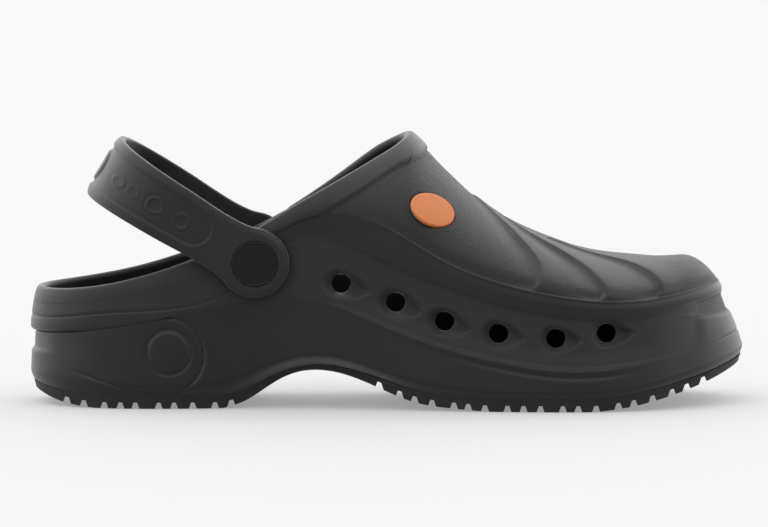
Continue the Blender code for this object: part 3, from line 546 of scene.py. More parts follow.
def over(station, side, share, inset):
    """Points of the upper between the ridge (share 0) and the collar edge or the crown (share 1)."""
    station, share = np.broadcast_arrays(station, share)
    ridge = wall(station, side, section("ridge", station) - 0.25 * inset, inset)
    along = (ridge[..., 0] + wall(station, -side, ridge[..., 2], inset)[..., 0]) / 2
    middle = np.stack([np.maximum(along, HEEL_CENTRE), dome("middle", along)], -1)
    angle = share * edge_angle(station, side)
    plan = ridge[..., :2] + (1 - np.cos(angle))[..., None] * (middle - ridge[..., :2])
    height = ridge[..., 2] + dome_rise(along, inset) * np.sin(angle) ** SHOULDER
    return np.concatenate([plan, height[..., None]], -1)


def stations(count, finer):
    """Stations from heel to toe, closer at both round ends and near each (station, reach, gain) of finer."""
    angle = np.linspace(0, math.pi, 4001)
    along = LENGTH / 2 * (1 - np.cos(angle))
    wanted = 1 + sum(gain * hump(along, place, reach) for place, reach, gain in finer)
    weight = 0.35 + np.sin(angle) * wanted
    total = np.concatenate([[0], np.cumsum((weight[1:] + weight[:-1]) / 2)])
    at = np.interp(np.linspace(0, total[-1], count), total, along)
    at[np.argmin(np.abs(at - THROAT))] = THROAT
    return at


def ring(there, back):
    """Closed rows: heel to toe along the outer side, and back along the inner side."""
    return np.concatenate([there, back[:, -2:0:-1]], axis=1)


def facing(rows):
    """Outward directions of closed rows that are stacked from below."""
    along = np.roll(rows, -1, axis=1) - np.roll(rows, 1, axis=1)
    up = np.gradient(rows, axis=0)
    out = np.cross(along, up)
    return out / np.maximum(np.linalg.norm(out, axis=-1, keepdims=True), 1e-9)


def nearest(points, line):
    """Distance of every point to the nearest point of a line."""
    flat = points.reshape(-1, points.shape[-1])
    found = np.concatenate([
        np.linalg.norm(part[:, None] - line[None], axis=-1).min(axis=1) for part in np.array_split(flat, 40)
    ])
    return found.reshape(points.shape[:-1])


# Meshes

def to_frame(points):
    """Table millimetres to the frame's metres."""
    return (np.asarray(points, float) - [LENGTH / 2, 0, 0]) * MM


def quads(rows, count, first=0, closed=True):
    """Faces between successive rows of count points."""
    start = first + np.arange(rows - 1)[:, None] * count
    here = np.arange(count if closed else count - 1)[None]
    after = (here + 1) % count
    corners = [start + here, start + after, start + count + after, start + count + here]
    return np.stack(corners, -1).reshape(-1, 4)


def sheets(*grids):
    """Points and faces of grids of points; each grid comes with whether its rows are closed."""
    points = []
    faces = []
    first = 0
    for grid, closed in grids:
        faces.append(quads(grid.shape[0], grid.shape[1], first, closed))
        points.append(grid.reshape(-1, 3))
        first += len(points[-1])
    return np.concatenate(points), faces


def capped(rows):
    """Points and faces of a tube of closed rows, with a face over each end."""
    points, faces = sheets((rows, True))
    end = np.arange(rows.shape[1])[None]
    return points, faces + [end, len(points) - rows.shape[1] + end]


def ladder(count, first=0):
    """Faces across a closed row, from its outer side to its inner side."""
    i = np.arange(count // 2)
    corners = [first + i, first + i + 1, first + (count - i - 1) % count, first + (count - i) % count]
    return np.stack(corners, -1)


def new_object(name, points, faces, grain=None):
    """A mesh object from table points, with doubled points joined; grain is each point's coarseness."""
    mesh = bpy.data.meshes.new(name)
    mesh.from_pydata(to_frame(points).tolist(), [], [face for part in faces for face in part.tolist()])
    if grain is not None:
        skin = mesh.attributes.new("grain", "FLOAT", "POINT")
        skin.data.foreach_set("value", np.asarray(grain, np.float32))
    work = bmesh.new()
    work.from_mesh(mesh)
    bmesh.ops.remove_doubles(work, verts=work.verts, dist=JOIN * MM)
    bmesh.ops.dissolve_degenerate(work, dist=SLIVER * MM, edges=work.edges)
    bmesh.ops.recalc_face_normals(work, faces=work.faces)
    if work.calc_volume(signed=True) < 0:
        bmesh.ops.reverse_faces(work, faces=work.faces)
    work.to_mesh(mesh)
    work.free()
    made = bpy.data.objects.new(name, mesh)
    bpy.context.scene.collection.objects.link(made)
    return made


def smooth_shaded(obj, sharp_from):
    """Shades a piece smooth, apart from edges over that many degrees."""
    obj.data.shade_smooth()
    obj.data.set_sharp_from_angle(angle=math.radians(sharp_from))


def lathe(profile, centre, axis, sides=ROUND_SIDES, oval=1.0, turn=0.0):
    """Points and faces of a solid turned about an axis; profile rows are (along the axis, radius).

    Where oval is under 1 the solid is lower than long, and turn swings its long axis, in degrees.
    """
    upright = Vector(axis).normalized().to_track_quat("Z", "X").to_matrix()
    swung = np.array(upright @ Matrix.Rotation(math.radians(turn), 3, "Z"))
    angle = 2 * np.pi * np.arange(sides) / sides
    along, radius = np.array(profile, float).T
    local = np.stack([
        oval * radius[:, None] * np.cos(angle), radius[:, None] * np.sin(angle), along[:, None] + 0 * angle,
    ], -1)
    points = np.asarray(centre, float) + local.reshape(-1, 3) @ swung.T
    return capped(points.reshape(local.shape))


def carve(obj, shapes):
    """Cuts closed shapes, given as points and faces, out of an object."""
    for k, shape in enumerate(shapes):
        cutter = new_object(f"cutter_{k}", *shape)
        made = obj.modifiers.new(cutter.name, "BOOLEAN")
        made.object = cutter
        made.operation = "DIFFERENCE"
        made.solver = "MANIFOLD"
    graph = bpy.context.evaluated_depsgraph_get()
    carved = bpy.data.meshes.new_from_object(obj.evaluated_get(graph))
    cutters = [made.object for made in obj.modifiers]
    obj.modifiers.clear()
    plain = obj.data
    carved.name = plain.name
    obj.data = carved
    bpy.data.meshes.remove(plain)
    for cutter in cutters:
        bpy.data.meshes.remove(cutter.data)


def settle(obj, material, slot, *nodes):
    """Finishes a piece: its material, its body, and the solids that it stands for."""
    if not obj.data.polygons:
        raise RuntimeError(f"{obj.name} has no faces")
    obj.data.materials.clear()
    obj.data.materials.append(material)
    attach(obj, BODY)
    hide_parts(*nodes)


# Materials

def add(tree, kind, inputs=None, **settings):
    """A shader node with its settings; inputs holds a constant or another node's output for a socket."""
    made = tree.nodes.new(kind)
    for name, value in settings.items():
        setattr(made, name, value)
    for name, value in (inputs or {}).items():
        if isinstance(value, bpy.types.NodeSocket):
            tree.links.new(value, made.inputs[name])
        else:
            made.inputs[name].default_value = value
    return made


def per_mm(size):
    """Texture scale at which one cell of a pattern measures that many millimetres."""
    return 1 / (size * MM)


def blank_material(name):
    """A material with its nodes cleared, its tree, and the coordinates of the piece that wears it."""
    made = bpy.data.materials.new(name)
    made.use_nodes = True
    made.node_tree.nodes.clear()
    return made, made.node_tree, add(made.node_tree, "ShaderNodeTexCoord").outputs["Object"]


def mottle(tree, place, size, detail, low, high):
    """Soft spots of that size in millimetres, and the same spots as values from low to high."""
    spots = add(tree, "ShaderNodeTexNoise", {"Vector": place, "Scale": per_mm(size), "Detail": detail})
    values = add(tree, "ShaderNodeMapRange", {
        "Value": spots.outputs["Fac"], "From Min": NOISE_LOW, "From Max": NOISE_HIGH, "To Min": low,
        "To Max": high,
    })
    return spots.outputs["Fac"], values.outputs["Result"]


def finish_material(tree, base, bump, inputs, tone=None):
    """Joins the colour, varied by the tone, and the bump to a shader; inputs holds its other values."""
    if tone:
        base = add(tree, "ShaderNodeMix", {"Factor": 1.0, "A": base, "B": tone}, data_type="RGBA",
                   blend_type="MULTIPLY").outputs["Result"]
    inputs = {"Base Color": base, "Normal": bump.outputs["Normal"], **inputs}
    shader = add(tree, "ShaderNodeBsdfPrincipled", inputs)
    add(tree, "ShaderNodeOutputMaterial", {"Surface": shader.outputs["BSDF"]})


def moulded_eva_foam(base):
    """Closed-cell foam from a sand-blasted mould: near black and dull, with a pebbled skin.

    The skin catches a soft grey light on top of the foot and stays dark on the sides. Its colour is also
    painted paler where it is grained: partly its real blasted finish, partly a painted highlight on the
    grained top of the foot and painted shade in the smooth creases, bands and sole.
    """
    made, tree, place = blank_material("moulded_eva_foam")
    grain = add(tree, "ShaderNodeAttribute", attribute_name="grain").outputs["Fac"]
    # The blasted grain is about 0.3 mm across, drawn at 0.5 mm so that it shows at this size.
    pebbles = add(tree, "ShaderNodeTexNoise", {
        "Vector": place, "Scale": per_mm(0.5), "Detail": 2.0, "Roughness": 0.55,
    })
    weighted = add(tree, "ShaderNodeMath", {0: pebbles.outputs["Fac"], 1: grain}, operation="MULTIPLY")
    # Slow waves of a foam skin that shrank as it cooled
    waves = add(tree, "ShaderNodeTexNoise", {"Vector": place, "Scale": per_mm(9.0), "Detail": 1.0})
    shrink = add(tree, "ShaderNodeBump", {
        "Height": waves.outputs["Fac"], "Strength": 0.3, "Distance": 0.12 * MM,
    })
    bump = add(tree, "ShaderNodeBump", {
        "Height": weighted.outputs["Value"], "Strength": 1.0, "Distance": 0.7 * MM,
        "Normal": shrink.outputs["Normal"],
    })
    # A blasted skin scatters more light than a smooth one, so its colour is mixed paler with the grain. This
    # is partly that real scatter and partly painted light: a painted highlight on the grained vamp and
    # painted shade in the smooth creases, collar band and sole.
    pale = tuple(2.4 * part for part in base)
    skin = add(tree, "ShaderNodeMix", {"Factor": grain, "A": (*base, 1), "B": (*pale, 1)}, data_type="RGBA")
    gloss = add(tree, "ShaderNodeMapRange", {"Value": grain, "To Min": 0.42, "To Max": 0.56})
    # Handling leaves patches a little paler than the rest.
    _, tone = mottle(tree, place, 22.0, 4.0, 0.88, 1.14)
    finish_material(tree, skin.outputs["Result"], bump, {
        "Roughness": gloss.outputs["Result"], "IOR": 1.49, "Specular IOR Level": 0.27, "Sheen Weight": 0.2,
        "Sheen Roughness": 0.45,
    }, tone)
    return made


def moulded_rubber(base):
    """Compression-moulded oil-resistant rubber: near black, duller than the foam, with a fine dry bloom."""
    made, tree, place = blank_material("moulded_rubber")
    bloom, gloss = mottle(tree, place, 1.2, 3.0, 0.55, 0.72)
    bump = add(tree, "ShaderNodeBump", {"Height": bloom, "Strength": 0.5, "Distance": 0.1 * MM})
    _, tone = mottle(tree, place, 12.0, 3.0, 0.85, 1.2)
    finish_material(tree, (*base, 1), bump, {
        "Roughness": gloss, "IOR": 1.52, "Specular IOR Level": 0.28,
    }, tone)
    return made


def moulded_footbed_foam(base):
    """Soft foam footbed: matt, with small round pimples in rows that the mould pressed into its top."""
    made, tree, place = blank_material("moulded_footbed_foam")
    pimples = add(tree, "ShaderNodeTexVoronoi", {"Vector": place, "Scale": per_mm(3.2), "Randomness": 0.15},
                  feature="SMOOTH_F1")
    raised = add(tree, "ShaderNodeMapRange", {
        "Value": pimples.outputs["Distance"], "From Min": 0.15, "From Max": 0.45, "To Min": 1.0,
        "To Max": 0.0,
    })
    soft = add(tree, "ShaderNodeBump", {
        "Height": raised.outputs["Result"], "Strength": 0.7, "Distance": 0.3 * MM,
    })
    cells, tone = mottle(tree, place, 0.6, 2.0, 0.85, 1.2)
    bump = add(tree, "ShaderNodeBump", {
        "Height": cells, "Strength": 0.6, "Distance": 0.1 * MM, "Normal": soft.outputs["Normal"],
    })
    finish_material(tree, (*base, 1), bump, {"Roughness": 0.72, "IOR": 1.49}, tone)
    return made


def moulded_nylon(base):
    """Injection-moulded nylon from a finely spark-eroded mould: hard, dark, with a low satin gloss."""
    made, tree, place = blank_material("moulded_nylon")
    erosion = add(tree, "ShaderNodeTexNoise", {"Vector": place, "Scale": per_mm(0.5), "Detail": 2.0})
    bump = add(tree, "ShaderNodeBump", {
        "Height": erosion.outputs["Fac"], "Strength": 0.4, "Distance": 0.05 * MM,
    })
    _, gloss = mottle(tree, place, 6.0, 4.0, 0.38, 0.48)
    finish_material(tree, (*base, 1), bump, {"Roughness": gloss, "IOR": 1.53, "Specular IOR Level": 0.2})
    return made


def moulded_soft_vinyl(base):
    """Moulded soft vinyl: an even, slightly waxy orange, satin on top and warmer where its rim is thin."""
    made, tree, place = blank_material("moulded_soft_vinyl")
    flow, tone = mottle(tree, place, 2.4, 2.0, 0.95, 1.05)
    bump = add(tree, "ShaderNodeBump", {"Height": flow, "Strength": 0.35, "Distance": 0.1 * MM})
    finish_material(tree, (*base, 1), bump, {
        "Roughness": 0.42, "IOR": 1.53, "Subsurface Weight": 0.1, "Subsurface Radius": (1.0, 0.4, 0.15),
        "Subsurface Scale": 0.6 * MM,
    }, tone)
    return made


def cast_opal_acrylic(base, glow):
    """Cast opal acrylic of a light table, sanded matt: pale, and lit from below so that shadows stay soft."""
    made, tree, place = blank_material("cast_opal_acrylic")
    # The sanding marks are about 2 mm across, drawn at 6 mm so that they show at this distance.
    marks = add(tree, "ShaderNodeTexNoise", {"Vector": place, "Scale": per_mm(6.0), "Detail": 2.0})
    bump = add(tree, "ShaderNodeBump", {
        "Height": marks.outputs["Fac"], "Strength": 0.1, "Distance": 0.1 * MM,
    })
    finish_material(tree, (*base, 1), bump, {
        "Roughness": 0.9, "IOR": 1.49, "Specular IOR Level": 0.2, "Emission Color": (1, 1, 1, 1),
        "Emission Strength": glow,
    })
    return made


def foam_of(colours):
    """The foam's material, made once for all pieces of foam."""
    return bpy.data.materials.get("moulded_eva_foam") or moulded_eva_foam(colours.foam)


# Upper

def dish(along, across, point):
    """1 at the bottom of a vent's dish and 0 outside it: round at the back, and drawn out to the front."""
    from_middle = along + DISH_SHIFT
    share = np.clip(from_middle / (DISH_FRONT + DISH_SHIFT), 0, 1)
    front = DISH_RADIUS * (1 - share**2) ** point - np.abs(across)
    back = DISH_RADIUS - np.hypot(from_middle, across)
    room = np.where(from_middle < 0, back, front)
    return 0.4 * smooth(room, 0.0, DISH_SLOPE) + 0.6 * np.clip(room / DISH_SLOPE, 0, 1)


def bumper_relief(at, height, skin, sizes):
    """How far the toe's bumper stands out, on the sole and on the upper."""
    spread = BUMPER_SPREAD * (1 - smooth(height, *BUMPER_SLANT))
    start = smooth(skin[..., 0], BUMPER_START[0] - spread, BUMPER_START[1] + spread / 2)
    above_tread = height - ground("height", at) - ground("thickness", at)
    within = smooth(above_tread, -1.5, 1.0) * (1 - smooth(height - BUMPER_TOP, -1.6, 0.7))
    swell = sizes.bumper / MM * (1 + 0.3 * hump(height, BUMPER_FULL, 5.0))
    above_low = height - section("low", at)
    seam = TOE_SEAM_DEPTH * smooth(skin[..., 0], *TOE_SEAM_STARTS) * hump(above_low, 0.0, 0.45)
    return start * within * swell - seam


def wall_relief(at, height, skin, side, sizes):
    """How far the wall of the upper stands out from its plain form: heel bead, vent panel, dishes and rim."""
    low = section("low", at)
    panel = section("panel", at)
    ridge = section("ridge", at)
    heel = 1 - smooth(at, *HEEL_BEAD_FADES)
    above_low = height - low
    under_panel = panel - height
    bead = smooth(above_low, 0.1, 0.7) * np.clip(1 + under_panel / 7.0, 0, 1)
    foot = 0.4 * smooth(above_low, 0.3, 1.6) + 0.6 * smooth(above_low, 1.0, 8.0)
    vent_panel = foot * smooth(under_panel, 0.0, 1.9) * (1 - 0.75 * smooth(at, *VENT_PANEL_FADES))
    toe_panel = smooth(skin[..., 0], *TOE_PANEL_STARTS) * smooth(height - BUMPER_TOP, -0.4, 1.2)
    toe_panel *= smooth(under_panel, 0.0, 1.2)
    front = np.maximum(vent_panel * smooth(at, *VENT_PANEL_STARTS), toe_panel)
    relief = section("panel_step", at) * np.where(at < HEEL_BEAD_END, bead, front)
    relief += bumper_relief(at, height, skin, sizes)
    share = np.clip((height - panel) / (ridge - panel), 0, 1)
    relief += sizes.rim / MM * smooth(at, *RIM_STARTS) * np.sin(np.pi * share)
    relief += RIM_LIP * smooth(at, *LEDGE_STARTS) * smooth(share, 0.86, 1.0)
    relief += heel * HEEL_BEAD_SWELL * hump(above_low, 2.6, 2.2)
    relief -= heel * HEEL_BEAD_GROOVE * hump(under_panel, 0.0, 0.45)
    radius = sizes.vent_radius / MM
    for station, middle, tilt, point in VENTS:
        turn = math.radians(tilt)
        ahead = skin[..., 0] - station
        above = height - middle - vent_lift(side)
        along = ahead * math.cos(turn) + above * math.sin(turn)
        across = above * math.cos(turn) - ahead * math.sin(turn)
        relief -= sizes.vent_dish / MM * dish(along, across, point)
        relief -= VENT_EDGE * (1 - smooth(np.hypot(ahead, above), radius - 0.2, radius + 0.9))
    return relief


def vent_lift(side):
    """How much higher the vents of that side lie."""
    return INNER_VENT_LIFT if side == INNER_SIDE else 0.0


def scale_step(distance, height, softness):
    """Step between two scales: a shallow trough behind it, and the scale ahead starts high over that."""
    behind = -0.5 * height * (1 - smooth(-distance, 0.6, 12.0))
    ahead = 0.5 * height * (1 - smooth(distance, 0.6, 15.0))
    slope = np.clip(0.5 + distance / (2 * softness), 0, 1)
    return behind + (ahead - behind) * (0.85 * slope + 0.15 * smooth(distance, -softness, softness))


def vamp_relief(at, share, side, skin, ridge, rim_line, sizes):
    """How far the dome stands out, and its grain, which also sets how pale the foam is painted: scales, ledge
    at the ridge and band at the collar.
    """
    from_ridge = np.linalg.norm(skin - ridge, axis=-1)
    ledge = smooth(from_ridge, 0.1, 0.8) * (1 - smooth(from_ridge, 1.4, 7.0))
    relief = -LEDGE_DEPTH * smooth(at, *LEDGE_STARTS) * ledge
    grain = 0.45 + 0.55 * smooth(at, *VAMP_GRAIN_STARTS)
    up = np.linspace(0, 1, 240)
    for crease in CREASES:
        stations_up, shares = np.array(crease).T
        line = over(spline(shares, stations_up, up), side, up, 0.0)
        distance = nearest(skin, line) * np.where(at < spline(shares, stations_up, share), -1, 1)
        strength = smooth(share, 0.0, 0.14) * (1 - 0.6 * smooth(share, 0.6, 1.0))
        softness = 1.15 - 0.5 * smooth(share, 0.35, 0.85)
        relief += strength * scale_step(distance, sizes.crease / MM, softness)
        # The grain drops along each crease, which makes the band smoother and paints it darker: painted shade
        # in the creases.
        polish_and_painted_shade = smooth(share, 0.05, 0.2)
        grain *= 1 - polish_and_painted_shade * (1 - smooth(np.abs(distance) - softness, -0.5, 0.4))
    away = nearest(skin, rim_line)
    width = np.interp(at, *zip(*BAND_WIDTHS))
    on_band = smooth(at, *BAND_START) * smooth(width - away, 0.0, BAND_EDGE)
    relief += (sizes.band / MM + BAND_RISE * smooth(at, BAND_RISE_START, THROAT)) * on_band
    relief -= BAND_GROOVE * smooth(at, *BAND_START) * hump(width - away, -0.5, 0.6)
    # The grain drops on the collar band, which also paints the band darker.
    return relief * smooth(LENGTH - at, 0.1, 4.0), grain * (1 - 0.75 * on_band)


def rolled_edge(outer, inner, rounds):
    """Rows of a round edge between two closed loops, from the outer to the inner one."""
    along = np.roll(outer, -1, axis=0) - np.roll(outer, 1, axis=0)
    across = (outer - inner) / 2
    away = np.cross(across, along)
    away *= np.linalg.norm(across, axis=1, keepdims=True) / np.linalg.norm(away, axis=1, keepdims=True)
    turn = (np.pi * np.arange(rounds + 1) / rounds)[:, None, None]
    return (outer + inner) / 2 + across * np.cos(turn) + away * np.sin(turn)


def upper_outside(at, sizes):
    """Closed rows of the upper's outside, from the sole's edge to collar or crown, and each point's grain."""
    low = section("low", at)
    panel = section("panel", at)
    ridge = section("ridge", at)
    up = np.linspace(0, 1, PANEL_ROWS)[:, None]
    over_panel = np.linspace(0, 1, RIM_ROWS + 1)[1:, None]
    height = np.concatenate([low + up * (panel - low), panel + over_panel * (ridge - panel)])
    up_vamp = np.linspace(0.015, 1, VAMP_ROWS)
    # Rows lie closer near the crown, where the creases run almost along them.
    share = np.concatenate([[0.006, 0.012], up_vamp + 0.3 * up_vamp * (1 - up_vamp)])[:, None]
    rear = at[at <= THROAT]
    rims = [over(rear, side, np.ones(len(rear)), 0.0) for side in SIDES]
    rim_line = np.concatenate(rims)
    skins = []
    reliefs = []
    grains = []
    wide = np.broadcast_to(at, height.shape)
    # The mould is blasted on the vent panel, on the heel above its bead and on the toe above the bumper.
    under_panel = panel - height
    vents = smooth(wide, *PANEL_GRAIN_STARTS) * (1 - smooth(wide, *PANEL_GRAIN_FADES))
    vents *= smooth(under_panel, -0.5, 0.8)
    heel = (1 - smooth(wide, *HEEL_GRAIN_FADES)) * smooth(-under_panel, 0.2, 1.5)
    toe = smooth(wide, *TOE_GRAIN_STARTS) * smooth(height - BUMPER_TOP, -0.2, 0.6)
    toe *= smooth(under_panel, -0.3, 0.5)
    # Outside these, as on the rim band over the vent panel, the grain stays low and the foam is painted
    # darker: partly its smoother skin, partly painted shade.
    panel_grain = 0.06 + 0.34 * vents + 0.39 * heel + 0.9 * toe
    for side in SIDES:
        below = wall(at, side, height, 0.0)
        above = over(at, side, share, 0.0)
        low_relief = wall_relief(wide, height, below, side, sizes)
        vamp, grain = vamp_relief(*np.broadcast_arrays(at, share), side, above, below[-1], rim_line, sizes)
        skins.append(np.concatenate([below, above]))
        reliefs.append(np.concatenate([low_relief, vamp]))
        grains.append(np.concatenate([panel_grain, grain]))
    skin = ring(*skins)
    skin = skin + facing(skin) * ring(*reliefs)[..., None]
    closed = np.flatnonzero(at >= THROAT)[:-1]
    other = (skin.shape[1] - closed) % skin.shape[1]
    crown = (skin[-1, closed] + skin[-1, other]) / 2
    skin[-1, closed] = crown
    skin[-1, other] = crown
    return skin, ring(*grains)


def upper_inside(at, wall_thickness):
    """Closed rows of the upper's inside, from the collar or crown down to the sole's edge."""
    low = section("low", at)
    panel = section("panel", at)
    share = np.array([1.0, 0.94, 0.86, 0.72, 0.5, 0.25, 0.0])[:, None]
    up = np.array([1.0, 0.85, 0.5, 0.15, 0.0])[:, None]
    # Behind the vent panel the wall steps in, so that it keeps its thickness.
    step_in = PANEL_INSIDE * np.array([0, 1, 1, 1, 0])[:, None] * smooth(at, *WALL_STEPS_IN)
    rows = [
        np.concatenate([
            over(at, side, share, wall_thickness),
            wall(at, side, low + up * (panel - low), wall_thickness + step_in),
        ])
        for side in SIDES
    ]
    return ring(*rows)


def make_upper(sizes):
    """Foam upper: outside, inside and rolled collar, cut by vents, rivet holes and the badge's seat."""
    at = stations(UPPER_STATIONS, ((THROAT, 5.0, 2.0), (205.0, 60.0, 1.6)))
    outside, grain = upper_outside(at, sizes)
    inside = upper_inside(at, sizes.wall / MM)
    count = outside.shape[1]
    rear = np.sum(at <= THROAT)
    edge = np.concatenate([np.arange(rear), np.arange(count - rear + 2, count)])
    rim = rolled_edge(outside[-1, edge], inside[0, edge], RIM_ROUNDS)
    points, faces = sheets((outside, True), (inside, True), (rim, True))
    # The lower edge joins the first row outside to the last row inside.
    i = np.arange(count)
    after = (i + 1) % count
    bottom = grain.size + (inside.shape[0] - 1) * count
    faces.insert(2, np.stack([bottom + i, bottom + after, after, i], -1))
    quiet = np.full(len(points) - grain.size, INSIDE_GRAIN)
    made = new_object("clog_upper", points, faces, np.concatenate([grain.reshape(-1), quiet]))
    shapes = []
    radius = sizes.vent_radius / MM
    for side in SIDES:
        for station, height, _, _ in VENTS:
            middle = wall(np.array([station]), side, np.array([height + vent_lift(side)]), np.array([1.7]))[0]
            shapes.append(lathe(((-9, radius), (9, radius)), middle, (0, side, 0), VENT_SIDES))
        shapes.append(rivet_hole(side))
    middle, direction = badge_frame()
    seat = BADGE_RADIUS + CLEARANCE
    oval = (BADGE_OVAL * BADGE_RADIUS + CLEARANCE) / seat
    profile = ((-BADGE_SEAT, seat), (4 * BADGE_SEAT, seat))
    shapes.append(lathe(profile, middle, direction, oval=oval, turn=BADGE_TURN))
    carve(made, shapes)
    smooth_shaded(made, 45)
    return made


# Badge

def badge_frame():
    """Middle of the badge on the vamp, and the direction that it faces."""
    def point(station, share):
        return over(np.array([station]), OUTER_SIDE, np.array([share]), 0.0)[0]

    middle = point(BADGE_STATION, BADGE_SHARE)
    along = point(BADGE_STATION + 1, BADGE_SHARE) - point(BADGE_STATION - 1, BADGE_SHARE)
    up = point(BADGE_STATION, BADGE_SHARE + 0.02) - point(BADGE_STATION, BADGE_SHARE - 0.02)
    direction = Vector(np.cross(along, up)).normalized()
    if direction.y * OUTER_SIDE < 0:
        direction.negate()
    return middle, direction


def make_badge():
    """Plain domed button with a rounded rim."""
    middle, direction = badge_frame()
    back = -BADGE_SEAT + CLEARANCE
    front = back + BADGE_THICKNESS - BADGE_FACE_BACK
    flat = BADGE_RADIUS - BADGE_RIM
    turn = np.linspace(0, np.pi / 2, 9)
    edge = [(front - BADGE_RIM + BADGE_RIM * math.sin(t), flat + BADGE_RIM * math.cos(t)) for t in turn]
    share = np.linspace(1, 0.02, 14)[1:]
    face = [(front + BADGE_DOME * (1 - s * s), flat * s) for s in share]
    profile = [(back, BADGE_RADIUS - BADGE_BEVEL), (back + BADGE_BEVEL, BADGE_RADIUS)] + edge + face
    shape = lathe(profile, middle, direction, oval=BADGE_OVAL, turn=BADGE_TURN)
    made = new_object("clog_badge", *shape)
    smooth_shaded(made, 50)
    return made


# Sole

def hook_line():
    """Groove round the heel boss and back along the bottom, in stations and heights."""
    turn = np.radians(np.linspace(104, -104, 80))
    arc = np.array(HOOK_CENTRE) + HOOK_RADIUS * np.stack([np.cos(turn), np.sin(turn)], -1)
    knots = np.concatenate([arc[-1:], HOOK_TAIL])
    step = np.concatenate([[0], np.cumsum(np.linalg.norm(np.diff(knots, axis=0), axis=1))])
    way = np.linspace(0, step[-1], 60)
    tail = np.stack([spline(step, knots[:, k], way) for k in range(2)], -1)
    return np.concatenate([arc, tail[1:]])


def sole_relief(at, height, skin, sizes):
    """How far the sole's side stands out: heel step and panel, boss, front groove and toe bumper."""
    low = section("low", at)
    seen = skin[..., [0, 2]]
    heel = np.clip((HEEL_HOLLOW_END - at) / HEEL_HOLLOW_RUN, 0, 1)
    back = 1 - smooth(at, *HEEL_BACK_FADES)
    relief = -HEEL_BACK_STEP * back * smooth(height, *HEEL_BACK_LINE)
    relief -= HEEL_HOLLOW * heel * (1 - back) * smooth(height - low, -16, -1)
    relief -= HEEL_GROOVE * heel * hump(low - height, 0.3, 0.5)
    relief += bumper_relief(at, height, skin, sizes)
    before_toe = 1 - smooth(at, *SIDE_GROOVE_FADES)
    relief -= SIDE_GROOVE * smooth(at, *SIDE_GROOVE_STARTS) * before_toe * hump(low - height, 2.9, 1.0)
    relief += SIDE_RIB * smooth(at, *SIDE_RIB_STARTS) * before_toe * hump(low - height, 0.8, 0.9)
    from_hook = nearest(seen, hook_line())
    fade = smooth(at, *HOOK_STARTS)
    relief -= sizes.hook / MM * fade * hump(from_hook, 0.0, 0.6)
    inside_hook = np.hypot(seen[..., 0] - HOOK_CENTRE[0], seen[..., 1] - HOOK_CENTRE[1]) - HOOK_RADIUS
    relief += HOOK_LIP * hump(inside_hook, 1.6, 0.9) * smooth(at, *HOOK_LIP_STARTS)
    from_boss = np.hypot(seen[..., 0] - BOSS_STATION, seen[..., 1] - BOSS_HEIGHT)
    relief += sizes.boss / MM * (1 - smooth(from_boss, BOSS_RADIUS - 1.9, BOSS_RADIUS - 0.4))
    relief += BOSS_DOME * np.clip(1 - (from_boss / BOSS_RADIUS) ** 2, 0, 1)
    relief -= BOSS_GROOVE * hump(from_boss, BOSS_RADIUS, 0.65)
    return relief


def make_sole(sizes):
    """Foam sole: its side from the tread to the upper, and the tray inside that holds the footbed."""
    at = stations(SOLE_STATIONS, ((45.0, 28.0, 1.6), (272.0, 8.0, 0.8)))
    low = section("low", at)
    flare = section("flare", at)
    floor = section("floor", at)
    foot = ground("height", at) + ground("thickness", at)
    foot_inset = section("foot_inset", at)
    under = np.linspace(0, 1, SOLE_FOOT_ROWS)[:, None]
    side_rows = np.linspace(0, 1, SOLE_SIDE_ROWS)[1:, None]
    height = np.concatenate([foot + under * (flare - foot), flare + side_rows * (low - flare)])
    inset = np.concatenate([foot_inset * (1 - under) ** 1.8, 0 * side_rows * at])
    skins = [wall(at, side, height, inset) for side in SIDES]
    wide = np.broadcast_to(at, height.shape)
    reliefs = [sole_relief(wide, height, skin, sizes) for skin in skins]
    skin = ring(*skins)
    calm = smooth((height - foot) / (low - foot), 0.0, 0.06)
    outside = skin + facing(skin) * ring(*[relief * calm for relief in reliefs])[..., None]
    thickness = sizes.wall / MM
    tray_up = np.array([1.0, 0.7, 0.35, 0.12, 0.0])[:, None]
    tray_in = np.array([0.0, 0.1, 0.4, 1.0, TRAY_LEAN])[:, None]
    inside = ring(*[wall(at, side, floor + tray_up * (low - floor), thickness + tray_in) for side in SIDES])
    points, faces = sheets((np.concatenate([outside, inside]), True))
    count = outside.shape[1]
    faces += [ladder(count), ladder(count, len(points) - count)]
    made = new_object("clog_sole", points, faces, np.full(len(points), SOLE_GRAIN))
    smooth_shaded(made, 50)
    return made


# Outsole

def tread_outline(at, side, inset):
    """Plan points of the outsole, inset within the foot of the sole; it stands out under the toe."""
    lip = TOE_LIP * smooth(at, *TOE_LIP_GROWS)
    return outline(at, side, section("foot_inset", at) + inset - lip)


def edge_at(along, inset, side):
    """Y of the outsole's outline at that inset, for points along X."""
    line = tread_outline(LENGTH / 2 * (1 - np.cos(np.linspace(0, np.pi, 1500))), side, inset)
    order = np.argsort(line[:, 0])
    return np.interp(along, line[order, 0], line[order, 1])


def outsole_ends(inset):
    """X of the outsole's back and front at that inset."""
    return tread_outline(np.array([0.0, LENGTH]), OUTER_SIDE, inset)[:, 0]


def groove_depth(along, depth):
    """Depth of the cross grooves at any place along the tread."""
    flank = (GROOVE_MOUTH - GROOVE_ROOT) / 2
    middles = np.array(HEEL_GROOVES + FOREFOOT_GROOVES)
    away = np.abs(np.asarray(along)[..., None] - middles).min(axis=-1)
    return depth * np.clip((GROOVE_MOUTH / 2 - away) / flank, 0, 1)


